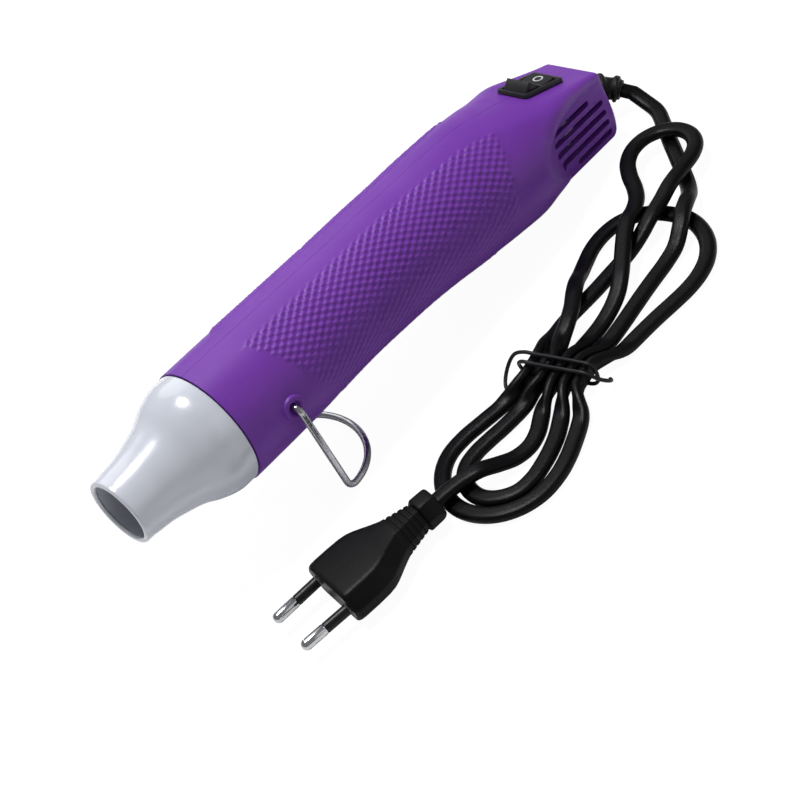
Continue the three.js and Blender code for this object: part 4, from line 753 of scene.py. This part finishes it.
def caseDepth(x, y, z):
    # signed distance, roughly: the barrel between its flanks less the side hollows, joined to the tail block,
    # kept under the deck and before the rear face, with each meeting rounded
    radius, drop = barrelAt(x)
    aside = np.abs(y)
    flank = aside - np.interp(x, denseFlank[:, 0], denseFlank[:, 1])
    barrel = softMost(np.hypot(y, z + drop) - radius, flank, case["flankRound"])
    out = (aside - case["tailHalfWidth"]) / case["hollowSpan"]
    sizes = zip(case["hollowPanel"], case["hollowRim"])
    middleX, reach, middleZ, tall, deep = (panel + (rim - panel) * out for panel, rim in sizes)
    ahead = np.minimum(x - middleX, 0) / reach
    above = z - middleZ
    above = np.where(above > 0, above / tall, np.where(x < middleX, above / deep, 0))
    hollow = (np.hypot(ahead, above) - 1) * case["hollowSteep"]
    hollow = np.maximum(hollow, case["tailHalfWidth"] - case["panelSkin"] - aside)
    barrel = softMost(barrel, -hollow, np.interp(z, case["rimSoftHeights"], case["rimRounds"]))
    tail = softMost(aside - case["tailHalfWidth"], -z - case["tailDrop"], case["footRound"])
    tail = softMost(tail, case["tailStart"] - x, case["tailRound"])
    body = softLeast(barrel, tail, case["panelRound"])
    deck = (z - deckZ(x)) * math.cos(case["deckSlope"])
    body = softMost(body, deck, np.interp(x, case["deckSoftPlaces"], case["deckRounds"]))
    down = (case["deckHeight"] - z) / (case["deckHeight"] + case["tailDrop"])
    rear = place["rearX"] + case["rearBulge"] * np.interp(down, denseRear[:, 0], denseRear[:, 1])
    return softMost(body, x - rear, case["rearRound"])


def caseRays(side, columns):
    # rays from a line down the middle, square to it, then swinging round its last point to face the rear
    gripStart, gripEnd = case["grip"]
    stations = np.concatenate([
        np.linspace(place["caseStart"], gripStart, 8)[:-1],
        np.arange(gripStart, gripEnd, case["gripStep"]),
        np.linspace(gripEnd + 0.3, case["swingX"], 62),
    ])
    swing = np.linspace(0, np.pi / 2, 53)[1:]
    x = np.concatenate([stations, np.full(len(swing), case["swingX"])])[:, None]
    tilt = np.concatenate([np.zeros(len(stations)), swing])[:, None]
    t = np.clip((x - case["dropStart"]) / case["dropReach"], 0, 1)
    around = np.linspace(-np.pi / 2, np.pi / 2, columns + 1)
    away = together(np.sin(tilt), side * np.cos(tilt) * np.cos(around), np.cos(tilt) * np.sin(around))
    return together(x, 0, -case["swingDrop"] * t * t * (3 - 2 * t)), away


def hitAlong(origin, away, depth):
    # the distance along each ray at which the case's depth is the one wanted, by halving
    low, high = np.zeros(away.shape[:2]), np.full(away.shape[:2], 60.0)
    for _ in range(26):
        middle = (low + high) / 2
        p = origin + away * middle[..., None]
        outside = caseDepth(p[..., 0], p[..., 1], p[..., 2]) > depth
        high = np.where(outside, middle, high)
        low = np.where(outside, low, middle)
    return origin + away * high[..., None]


stud = {"along": 4.41, "round": 2.81, "height": 0.62}  # millimetres between studs in a row, along and round


def studMask(x, angle):
    # 1 inside the grip's zone on each side, fading over a millimetre or two at its edges
    upper = np.interp(x, [60, 146, 173, 187, 195], [69, 69, 67, 60.5, 51])
    front = np.interp(angle, [-90, -19, 4, 40, 70], [96, 80, 75.5, 69, 64])
    rear = np.interp(angle, [-90, -19, 5, 28, 60], [160, 175, 179.5, 182.5, 189])
    inside = np.minimum(np.minimum((upper - angle) * 0.4, x - front), rear - x)
    return np.clip(inside / 1.8 + 0.5, 0, 1)


def studNet(x, angle):
    # two cosine waves crossing at a slant, cos(a + r) + cos(a - r): a flat-topped round stud where both crest
    a = x * 2 * np.pi / stud["along"]
    r = angle * case["radius"] * 2 * np.pi / stud["round"]
    return np.clip((np.cos(a + r) + np.cos(a - r) + 1) * 0.4, 0, 1)


def studHeights(points):
    # 0 to 1: the net inside the grip's zone, lower towards the underside and none at the seam below
    drop = barrelAt(points[..., 0])[1]
    angle = np.arctan2(points[..., 2] + drop, np.abs(points[..., 1]))
    degrees = np.degrees(angle)
    share = studMask(points[..., 0], degrees) * np.clip((degrees + 25) / 25, 0.45, 1)
    return studNet(points[..., 0], angle) * share * np.clip((degrees + 89) / 3, 0, 1)


def shellPiece(name, side):
    # the outer skin with its studs, and one wall under it an inner skin with a quarter of the columns
    origin, away = caseRays(side, case["sides"])
    outer = hitAlong(origin, away, 0.0)
    heights = studHeights(outer)
    outer = outer + away * heights[..., None] * stud["height"]
    inner = hitAlong(*caseRays(side, case["sides"] // 4), -case["wall"])
    rows, wide, few = len(outer), outer.shape[1], inner.shape[1]
    index = np.arange(rows * wide).reshape(rows, wide)
    under = rows * wide + np.arange(rows * few).reshape(rows, few)

    seams = [np.stack([index[:, k], under[:, k]], 1) for k in (0, -1)]
    j = np.arange(few - 1)
    mouth = np.stack([*(index[0, 4 * j + k] for k in range(5)), under[0, j + 1], under[0, j]], -1)
    points = np.concatenate([outer.reshape(-1, 3), inner.reshape(-1, 3)]) + [0, side * case["seam"], 0]
    faces = [cornersOf(grid).reshape(-1, 4) for grid in (index, under, *seams)] + [mouth]
    values = {"studs": np.concatenate([heights.ravel(), np.zeros(rows * few)])}
    return newPiece(name, fromTool(points), faces, sharp=case["sharp"], values=values)


def merged(piece):
    # points on one another joined, faces without area gone, and all faces turned outwards
    work = bmesh.new()
    work.from_mesh(piece.data)
    bmesh.ops.remove_doubles(work, verts=work.verts, dist=2e-6)
    bmesh.ops.dissolve_degenerate(work, edges=work.edges, dist=1e-7)
    bmesh.ops.recalc_face_normals(work, faces=work.faces)
    work.to_mesh(piece.data)
    work.free()


def cutWith(piece, cutters):
    # takes closed cutters out of a closed piece and keeps the result as its mesh
    group = bpy.data.collections.new("cutters")
    for cutter in cutters:
        merged(cutter)
        group.objects.link(cutter)
    modifier = piece.modifiers.new("cut", "BOOLEAN")
    modifier.operand_type = "COLLECTION"
    modifier.collection = group
    modifier.solver = "EXACT"
    bpy.context.view_layer.update()
    graph = bpy.context.evaluated_depsgraph_get()
    made = bpy.data.meshes.new_from_object(piece.evaluated_get(graph))
    piece.modifiers.clear()
    piece.data = made
    made.shade_smooth()
    made.set_sharp_from_angle(angle=math.radians(case["sharp"]))
    for cutter in cutters:
        bpy.data.objects.remove(cutter)
    bpy.data.collections.remove(group)


vent = {
    "top": 2.6,
    "pitch": 4.5,
    "height": 2.4,
    "depths": (-4.4, 4.0),  # from the tail's side, inwards and outwards
    "starts": (213.6, 213.0, 212.6, 212.3, 222.0),
    "ends": (235.6, 242.6, 242.9, 243, 243),
}


def pushedRings(outline, axis, ends):
    # an outline of two numbers a point, repeated at both ends of a push along the third axis
    return np.stack([np.insert(outline, axis, end, axis=1) for end in ends])


def slotCutters():
    # five slots a side, each with half circles for ends
    half = vent["height"] / 2
    angle = np.linspace(np.pi / 2, 1.5 * np.pi, 9)
    bow = half * together(np.cos(angle), np.sin(angle))
    cutters = []
    for i, (start, end) in enumerate(zip(vent["starts"], vent["ends"])):
        z = -vent["top"] - i * vent["pitch"]
        outline = np.concatenate([bow + [start + half, z], [end - half, z] - bow])
        for side in (-1, 1):
            depths = np.sort(side * (case["tailHalfWidth"] + np.array(vent["depths"])))
            cutters.append(ringPiece(f"slot_cutter_{i}_{side}", fromTool(pushedRings(outline, 1, depths))))
    return cutters


# the four screws go in from the side away from the lead's loops: x and z of each
wells = {
    "places": ((113, 16.4), (113, -16.4), (214, -19.5), (200, 11.5)),
    "radius": 2.9,
    "skirt": 3.9,
    "hole": 1.7,
    "floor": 9.0,
    "base": 1.0,
    "sunk": 0.9,
    "play": 0.03,
}


def onDeck(points):
    # deck frame, x down the slope and z out of the deck, to tool millimetres
    x, y, z = apart(points)
    x, z = turnedBy(-case["deckSlope"], x, z)
    switchX = place["rearX"] - case["switchBack"]
    return together(switchX + x, y, deckZ(switchX) + z)


def wellRing(x, z, radius, y):
    # a circle round a screw's middle, at the height y
    around = circle(radius, 48)
    return together(x + around[:, 0], y, z + around[:, 1])


def wellTop(x, z, radius):
    # the same circle carried out along y to the case's skin, then sunk a little into its wall
    start = wellRing(x, z, radius, 0)[:, None]
    away = np.zeros_like(start) + [0, 1, 0]
    return hitAlong(start, away, 0)[:, 0] - [0, wells["sunk"], 0]


def wellPiece(name, x, z):
    # a cup round one screw: floor, bore, and a skirt whose top follows the skin
    bore, skirt, hole, floor = wells["radius"] + wells["play"], wells["skirt"], wells["hole"], wells["floor"]
    under = floor - wells["base"]
    rings = np.stack([
        wellRing(x, z, hole, floor), wellRing(x, z, bore, floor), wellTop(x, z, bore),
        wellTop(x, z, skirt), wellRing(x, z, skirt, under), wellRing(x, z, hole, under),
    ])
    piece = ringPiece(name, fromTool(rings), joined=True)
    merged(piece)
    return piece


# what else is cut out: half sizes or radius, and from where to where
cuts = {
    "switchHalf": (9.8, 6.6),
    "switchDepths": (-6.0, 12.0),
    "reliefRadius": 5.5,
    "reliefDepths": (238.0, 252.0),
    "pivotRadius": 1.55,
    "pivotDepths": (-30.0, 30.0),
    "wellEnd": 40.0,
}


def caseCutters():
    # everything that is cut out of a shell, as closed pieces
    holes = {}
    for number, (x, z) in enumerate(wells["places"]):
        ends = (wells["floor"], cuts["wellEnd"])
        holes[f"well_cutter_{number}"] = np.stack([wellRing(x, z, wells["radius"], y) for y in ends])
    room = np.array([(1, -1), (1, 1), (-1, 1), (-1, -1)]) * cuts["switchHalf"]
    holes["switch_cutter"] = onDeck(pushedRings(room, 2, cuts["switchDepths"]))
    bore = pushedRings(circle(cuts["reliefRadius"], 40), 0, cuts["reliefDepths"])
    holes["relief_cutter"] = bore - [0, 0, place["reliefDrop"]]
    pivot = pushedRings(circle(cuts["pivotRadius"], 32)[::-1], 1, cuts["pivotDepths"])
    holes["pivot_cutter"] = pivot + [place["pivotX"], 0, 0]
    return slotCutters() + [ringPiece(name, fromTool(rings)) for name, rings in holes.items()]


def caseMaterial():
    # satin purple plastic with a fine mould grain, and a painted highlight: the tops of the studs a little
    # paler
    n = Nodes("purplePlastic", Specular_IOR_Level=0.28)
    where = n.position()
    tone = n.noise(where, 30.0, 2.0)
    grain = n.noise(where, 1500.0, 3.0)
    studs = n.new("ShaderNodeAttribute", attribute_name="studs").outputs["Fac"]
    # painted highlight: the higher a stud, the more its colour is blended towards a pale purple
    paintedStudHighlight = n.span(studs, 0.5, 1.0, 0.0, 0.12)
    base = n.blendColour(n.span(tone, 0.3, 0.7, 0, 1), srgb(104, 46, 152), srgb(112, 53, 160))
    n.set(
        Base_Color=n.blendColour(paintedStudHighlight, base, srgb(150, 104, 186)),
        Roughness=n.span(grain, 0.3, 0.7, 0.4, 0.5),
        Normal=n.bump(grain, 0.00004),
    )
    return n.material


purplePlastic = caseMaterial()
for shellName, shellSide in (("left_shell", -1), ("right_shell", 1)):
    shell = shellPiece(shellName.replace("_", "_case_"), shellSide)
    merged(shell)
    cutWith(shell, caseCutters())
    dress(shell, "case", purplePlastic, "purple_case", shellName)
    shell.data.calc_loop_triangles()
    print(shellName, "made,", len(shell.data.loop_triangles), "triangles")
for number, (wellX, wellZ) in enumerate(wells["places"], 1):
    dress(wellPiece(f"screw_well_{number}", wellX, wellZ), "case", purplePlastic, "purple_case")
print("screw wells made")

# The nozzle

nozzle = {
    "reach": 42.6,
    "mouth": 13.1,
    "base": 22.6,
    "wall": 1.6,
    "rimWidth": 2.1,
    "rimFlat": 0.7,
    "rimRound": 0.9,
    "sleeve": 20.35,
    "sleeveDepth": 15.1,
    "flangeStart": 8.4,
    "flangeLength": 2.4,
    "flangeRise": 1.1,
    "shoulderRound": 0.5,
    "sides": 160,
}
flareRows = [
    (0, 0), (0.07, 0.012), (0.14, 0.042), (0.28, 0.116), (0.42, 0.263), (0.56, 0.453), (0.7, 0.768),
    (0.845, 0.979), (1, 1),
]


def nozzleProfile():
    # outside from the rolled rim up the flare to the shoulder, down the sleeve, and back inside one wall in
    mouth, base, reach, wall, sleeve = (nozzle[key] for key in ("mouth", "base", "reach", "wall", "sleeve"))
    along, grow = np.array(flareRows).T
    flare = smoothLine(together(mouth + (base - mouth) * grow, reach * along), 8)
    flare[:, 0] = np.minimum(flare[:, 0], base)
    flare = flare[flare[:, 1] > nozzle["rimRound"] + 0.5]
    middle, bore, flat = mouth - nozzle["rimWidth"] / 2, mouth - nozzle["rimWidth"], nozzle["rimFlat"] / 2
    rim, shoulder, out = nozzle["rimRound"], nozzle["shoulderRound"], sleeve + nozzle["flangeRise"]
    flangeStart = place["caseStart"] + nozzle["flangeStart"]
    flangeEnd = flangeStart + nozzle["flangeLength"]
    end = place["caseStart"] + nozzle["sleeveDepth"]
    quarter = np.linspace(0, np.pi / 2, 6)
    rise, turn = np.sin(quarter), np.cos(quarter)
    hidden = [
        [sleeve, reach], [sleeve, flangeStart], [out, flangeStart], [out, flangeEnd], [sleeve, flangeEnd],
        [sleeve, end], [sleeve - wall, end], [sleeve - wall, reach - wall],
    ]
    inside = flare[::-1] - [wall, 0]
    inside = inside[inside[:, 1] < reach - 3.5]
    inside[:, 0] = np.maximum(inside[:, 0], bore)
    return np.concatenate([
        together(middle + flat + (mouth - middle - flat) * rise, rim * (1 - turn)),
        flare[flare[:, 1] < reach - shoulder],
        together(base - shoulder * (1 - turn), reach - shoulder * (1 - rise)),
        hidden,
        inside,
        together(middle - flat - (middle - flat - bore) * turn, rim * (1 - rise)),
    ])


def nozzleMaterial():
    # glossy white heat-proof plastic, cool in tone, with faint flow marks under the gloss
    n = Nodes("nozzlePlastic", Specular_IOR_Level=0.6, Coat_Weight=0.35, Coat_Roughness=0.06)
    where = n.position()
    tone = n.noise(where, 22.0, 3.0)
    ripple = n.noise(where, 140.0, 2.0)
    n.set(
        Base_Color=n.blendColour(n.span(tone, 0.35, 0.65, 0, 1), srgb(190, 194, 204), srgb(200, 203, 213)),
        Roughness=n.span(ripple, 0.3, 0.7, 0.16, 0.26),
        Normal=n.bump(ripple, 0.00008),
    )
    return n.material


nozzleRings = turnedRings(nozzleProfile(), nozzle["sides"])
nozzlePiece = ringPiece("nozzle_cone", fromTool(nozzleRings), joined=True, sharp=38)
dress(nozzlePiece, "case", nozzleMaterial(), "white_nozzle", "nozzle")
print("nozzle made")

# The wire stand

stand = {
    "wire": 1.25,
    "leg": 41.3,
    "halfWidth": 26.0,
    "footReach": 23.0,
    "elbow": 2.1,
    "corner": 3.0,
    "pin": 6.6,
}


def standLine():
    # pin, elbow, leg and corner on one side, half an ellipse for the foot, then the same mirrored
    def bend(middle, fromWay, toWay, radius):
        angle = np.linspace(0, np.pi / 2, 12)[:, None]
        return np.array(middle) + radius * (np.cos(angle) * fromWay + np.sin(angle) * toWay)

    half, leg, elbow, corner = stand["halfWidth"], stand["leg"], stand["elbow"], stand["corner"]
    inner = np.linspace(stand["pin"], elbow + 0.4, 5)[:, None] * [0, 1, 0] + [0, -half, 0]
    top = bend([0, elbow - half, -elbow], np.array([0, 0, 1.0]), np.array([0, -1.0, 0]), elbow)
    down = np.linspace(-elbow - 1, corner - leg + 1, 30)[:, None] * [0, 0, 1] + [0, -half, 0]
    low = bend([corner, -half, corner - leg], np.array([-1.0, 0, 0]), np.array([0, 0, -1.0]), corner)
    side = np.concatenate([inner, top, down, low])
    angle = np.linspace(-np.pi / 2, np.pi / 2, 62)[1:-1]
    bow = together(corner + (stand["footReach"] - corner) * np.cos(angle), half * np.sin(angle), -leg)
    line = np.concatenate([side, bow, side[::-1] * [1, -1, 1]])
    foot = [place["pivotX"] * math.cos(place["tilt"]), 0, leg + stand["wire"]]
    return evenly(line, 0.9) + foot


steelTones = (196, 197, 200), (160, 161, 165)
standSteel = finish("standSteel", *steelTones, (0.16, 0.32), 600, 0.00003, patch=90, **bright)
standPiece = roundWire("stand_loop", standLine(), stand["wire"], 20, (1, 0, 0))
dress(standPiece, "stand", standSteel, "steel", "stand_wire")
print("stand made")

# The pivot bosses

boss = {"radius": 4.4, "reach": 1.0, "depth": 3.2, "round": 0.9, "sides": 64}


def bossPiece(name, side):
    # a low ring round the pivot hole, rounded at both its edges: a profile of (radius, height) turned about y
    face, root = case["radius"] + boss["reach"], case["radius"] - boss["depth"]
    radius, hole, bow = boss["radius"], cuts["pivotRadius"], boss["round"]
    profile = np.array([
        [hole + 0.5, root], [radius, root], [radius, face - bow], [radius - bow * 0.3, face - bow * 0.3],
        [radius - bow, face], [hole + 1.5, face], [hole + 0.95, face - 0.25], [hole + 0.6, face - 0.7],
    ])
    x, y, z = apart(turnedRings(profile, boss["sides"]))
    rings = together(place["pivotX"] + y, side * x, -z)[::-side]
    return ringPiece(name, fromTool(rings), joined=True, sharp=38)


for number, side in ((1, -1), (2, 1)):
    dress(bossPiece(f"pivot_boss_{number}", side), "case", purplePlastic, "purple_case")

# The switch

switch = {
    "length": 21.0,
    "width": 15.0,
    "height": 1.5,
    "round": 1.5,
    "bodyLength": 19.0,
    "bodyWidth": 12.6,
    "depth": 11.0,
    "well": 6.5,
    "gap": 0.3,
}
rocker = {
    "radius": 8.6,
    "pivotDrop": 1.2,
    "rest": math.radians(10),
    "topRise": math.radians(36),
    "endDrop": math.radians(18),
    "dish": 2.3,
    "dishPower": 1.1,
    "keel": 4.0,
    "belly": 1.8,
    "halfWidth": 5.4,
    "edge": 0.35,
}


def roundedRectangle(halfLength, halfWidth, radius, z, steps=6):
    # corner arcs of one radius, joined by straight sides, all at height z
    angle = np.linspace(0, np.pi / 2, steps)
    arc = radius * together(np.cos(angle), np.sin(angle))
    corners = []
    for quarter, signs in enumerate(((1, 1), (-1, 1), (-1, -1), (1, -1))):
        turned = together(*turnedBy(quarter * np.pi / 2, *arc.T))
        corners.append(turned + np.array(signs) * (halfLength - radius, halfWidth - radius))
    return np.insert(np.concatenate(corners), 2, z, axis=1)


def bezelRings():
    # rounded rectangles up round the body, out under the rim, over its rounded edge and down the well
    half, wide, top = switch["length"] / 2, switch["width"] / 2, switch["gap"] + switch["height"]
    bodyHalf, bodyWide = switch["bodyLength"] / 2, switch["bodyWidth"] / 2
    wellHalf, wellWide = rocker["radius"] + switch["gap"], bodyWide - 0.6
    rows = [
        (bodyHalf, bodyWide, 0.4, -switch["depth"]),
        (bodyHalf, bodyWide, 0.4, switch["gap"]),
        (half, wide, switch["round"], switch["gap"]),
        (half, wide, switch["round"], top - 0.5),
        (half - 0.15, wide - 0.15, 1.4, top - 0.15),
        (half - 0.5, wide - 0.5, 1.2, top),
        (wellHalf + 0.35, wellWide + 0.35, 0.6, top),
        (wellHalf, wellWide, 0.4, top - 0.35),
        (wellHalf, wellWide, 0.4, -switch["well"]),
    ]
    return np.stack([roundedRectangle(*row) for row in rows])


def fromRocker(points):
    # rocker frame, turned by its rest angle about the pivot under the deck, to the part's frame
    x, y, z = apart(points)
    x, z = turnedBy(-rocker["rest"], x, z)
    return fromTool(onDeck(together(x, y, z - rocker["pivotDrop"])))


def topOfRocker(x):
    # a dish that deepens from both ends towards the middle: top - dish * (1 - |x / end| ^ power)
    end = rocker["radius"] * math.cos(rocker["topRise"])
    top = rocker["radius"] * math.sin(rocker["topRise"])
    return top - rocker["dish"] * (1 - (np.abs(x) / end) ** rocker["dishPower"])


def rockerOutline():
    # two arcs of the rocker's radius, a dished top between them and a keel below
    angle = np.linspace(-rocker["endDrop"], rocker["topRise"], 14)
    rear = rocker["radius"] * together(np.cos(angle), np.sin(angle))
    x = np.linspace(rear[-1, 0], -rear[-1, 0], 34)[1:-1]
    keelZ = -rocker["belly"] - rocker["dish"]
    keel = [[-rocker["keel"], keelZ], [rocker["keel"], keelZ]]
    return np.concatenate([rear, together(x, topOfRocker(x)), rear[::-1] * [-1, 1], keel])


def rockerRings():
    # the outline across the width, drawn in a little at both sides to round its edges
    outline = rockerOutline()
    middle = np.array([0, 0.5])
    edge, half = rocker["edge"], rocker["halfWidth"]
    angle = np.linspace(0, np.pi / 2, 5)
    inset = edge * (1 - np.sin(angle))
    across = half - edge + edge * np.cos(angle)
    inset, across = np.concatenate([inset, inset[::-1]]), np.concatenate([-across, across[::-1]])
    reach = np.linalg.norm(outline - middle, axis=1)
    rings = middle + (outline - middle)[None] * (1 - inset[:, None] / reach[None])[..., None]
    rings = np.insert(rings, 1, 0.0, axis=2)
    rings[..., 1] = across[:, None]
    return rings[::-1]


mark = {"place": 3.9, "half": 1.9, "ring": 0.5, "bar": 0.28, "sunk": -0.05, "proud": 0.03}


def markRing(middle, half, stroke, count=48):
    # the off mark: a flat ring that follows the dished top, a hair above it
    angle = np.arange(count) * 2 * np.pi / count
    rows = []
    sunk, proud = mark["sunk"], mark["proud"]
    for grow, lift in ((0, sunk), (0, proud), (stroke, proud), (stroke, sunk)):
        x = middle + (half - stroke + grow) * np.cos(angle)
        y = (half - stroke + grow) * np.sin(angle)
        rows.append(together(x, y, topOfRocker(x) + lift))
    return np.stack(rows)


def markBar(middle, half, stroke):
    # the on mark: a flat bar across the rocker's other half
    x = np.array([middle - stroke, middle + stroke, middle + stroke, middle - stroke])
    y = np.array([-half, -half, half, half])
    return np.stack([together(x, y, topOfRocker(x) + lift) for lift in (mark["sunk"], mark["proud"])])


switchBlack = finish("switchBlack", (40, 38, 42), (28, 27, 30), (0.34, 0.5), 1300, 0.00004, **dull)
rockerBlack = finish("rockerBlack", (44, 43, 46), (33, 32, 35), (0.29, 0.43), 1300, 0.00003, **dull)
markPaint = finish("markPaint", (214, 216, 214), (196, 198, 196), (0.44, 0.56), 900, 0.00002)
bezelPiece = ringPiece("switch_bezel", fromTool(onDeck(bezelRings())), sharp=34)
dress(bezelPiece, "case", switchBlack, "black_plastic", "switch_body")
rockerPiece = ringPiece("rocker_cap", fromRocker(rockerRings()), sharp=34)
dress(rockerPiece, "rocker", rockerBlack, "black_plastic", "switch_rocker")
offMark = ringPiece("off_mark", fromRocker(markRing(mark["place"], mark["half"], mark["ring"])), joined=True)
dress(offMark, "rocker", markPaint, "nylon")
onMark = ringPiece("on_mark", fromRocker(markBar(-mark["place"], mark["half"], mark["bar"])))
dress(onMark, "rocker", markPaint, "nylon")
print("switch made")

# The strain relief

relief = {"hole": 5.2, "collar": 7.2, "start": 239.5, "collarLength": 3.0, "lead": 6.0, "sunk": 0.03}
reliefRows = [
    (0, 1.25), (0.05, 1.28), (0.1, 1.25), (0.125, 0.95), (0.2, 0.9), (0.3, 0.9), (0.4, 0.95), (0.45, 1.04),
    (0.48, 1.2), (0.52, 1.21), (0.55, 1.14), (0.59, 0.92), (0.66, 0.86), (0.74, 0.82), (0.79, 0.84),
    (0.82, 0.96), (0.86, 1.0), (0.92, 0.96), (0.94, 0.8), (0.965, 0.74), (1, 0.73),
]


def reliefRings():
    # a collar in the case's hole, then rings along a cubic from square to the rear face to along the lead
    drop, hole, collar, start = place["reliefDrop"], relief["hole"], relief["collar"], relief["start"]
    face = np.array([place["rearX"] + case["rearBulge"], 0, -drop])
    tip, way = np.array(lead["reliefTip"]), unit(np.array(lead["reliefWay"]))
    a, b, c, d = face, face + [relief["lead"], 0, 0], tip - way * relief["lead"], tip
    rows = np.array(reliefRows)
    if finished:
        rows = betweenRows(rows, 2)
    t = (relief["sunk"] + (1 - relief["sunk"]) * rows[:, 0])[:, None]
    middle = (1 - t) ** 3 * a + 3 * t * (1 - t) ** 2 * b + 3 * t**2 * (1 - t) * c + t**3 * d
    ways = unit((1 - t) ** 2 * (b - a) + 2 * t * (1 - t) * (c - b) + t**2 * (d - c))
    across = unit(np.cross([0, 0, 1], ways))
    up = np.cross(ways, across)
    section = circle(1, 40)
    size = (hole * rows[:, 1])[:, None, None]
    bow = middle[:, None] + size * (section[:, :1] * across[:, None] + section[:, 1:] * up[:, None])
    collarEnd = start + relief["collarLength"]
    straight = np.array([(collar, start), (collar, collarEnd), (hole, collarEnd), (hole, face[0] + 0.3)])
    return np.concatenate([turnedRings(straight, 40) - [0, 0, drop], bow])


reliefRubber = finish("reliefRubber", (24, 24, 25), (14, 14, 15), (0.4, 0.56), 1200, 0.00006, **dull)
reliefPiece = ringPiece("cord_guard", fromTool(reliefRings()), sharp=50)
dress(reliefPiece, "case", reliefRubber, "black_rubber", "strain_relief")
print("strain relief made")

# What is held inside

insideFinish = {
    "purple_case": purplePlastic,
    "white_nozzle": nozzlePiece.data.materials[0],
    "black_plastic": switchBlack,
    "black_rubber": reliefRubber,
    "steel": standSteel,
    "brass": finish("plainBrass", (201, 168, 92), (178, 144, 74), (0.22, 0.38), 500, 0.00003, **bright),
    "copper": finish("windingCopper", (184, 112, 66), (150, 86, 48), (0.25, 0.45), 700, 0.00004, **bright),
    "mica": finish("micaBoard", (206, 186, 146), (176, 152, 112), (0.35, 0.65), 260, 0.00006),
    "dark_metal": finish("darkMetal", (92, 92, 95), (66, 66, 70), (0.35, 0.55), 400, 0.00004, Metallic=0.9),
    "nylon": finish("naturalNylon", (228, 225, 216), (212, 208, 198), (0.42, 0.58), 600, 0.00004),
    "board": finish("boardGreen", (46, 92, 58), (36, 74, 46), (0.35, 0.55), 500, 0.00004),
    "red_wire": finish("redSheath", (170, 50, 42), (146, 38, 32), (0.37, 0.53), 700, 0.00003),
    "blue_wire": finish("blueSheath", (46, 82, 162), (34, 64, 134), (0.37, 0.53), 700, 0.00003),
}
slots = {row["node"]: row["material_slot"] for row in frame["record"]["subparts"]}
for nodeName, node in frame["nodes"].items():
    if not node.hide_render:
        node.data.materials.clear()
        node.data.materials.append(insideFinish[slots[nodeName]])
print("inside pieces dressed")
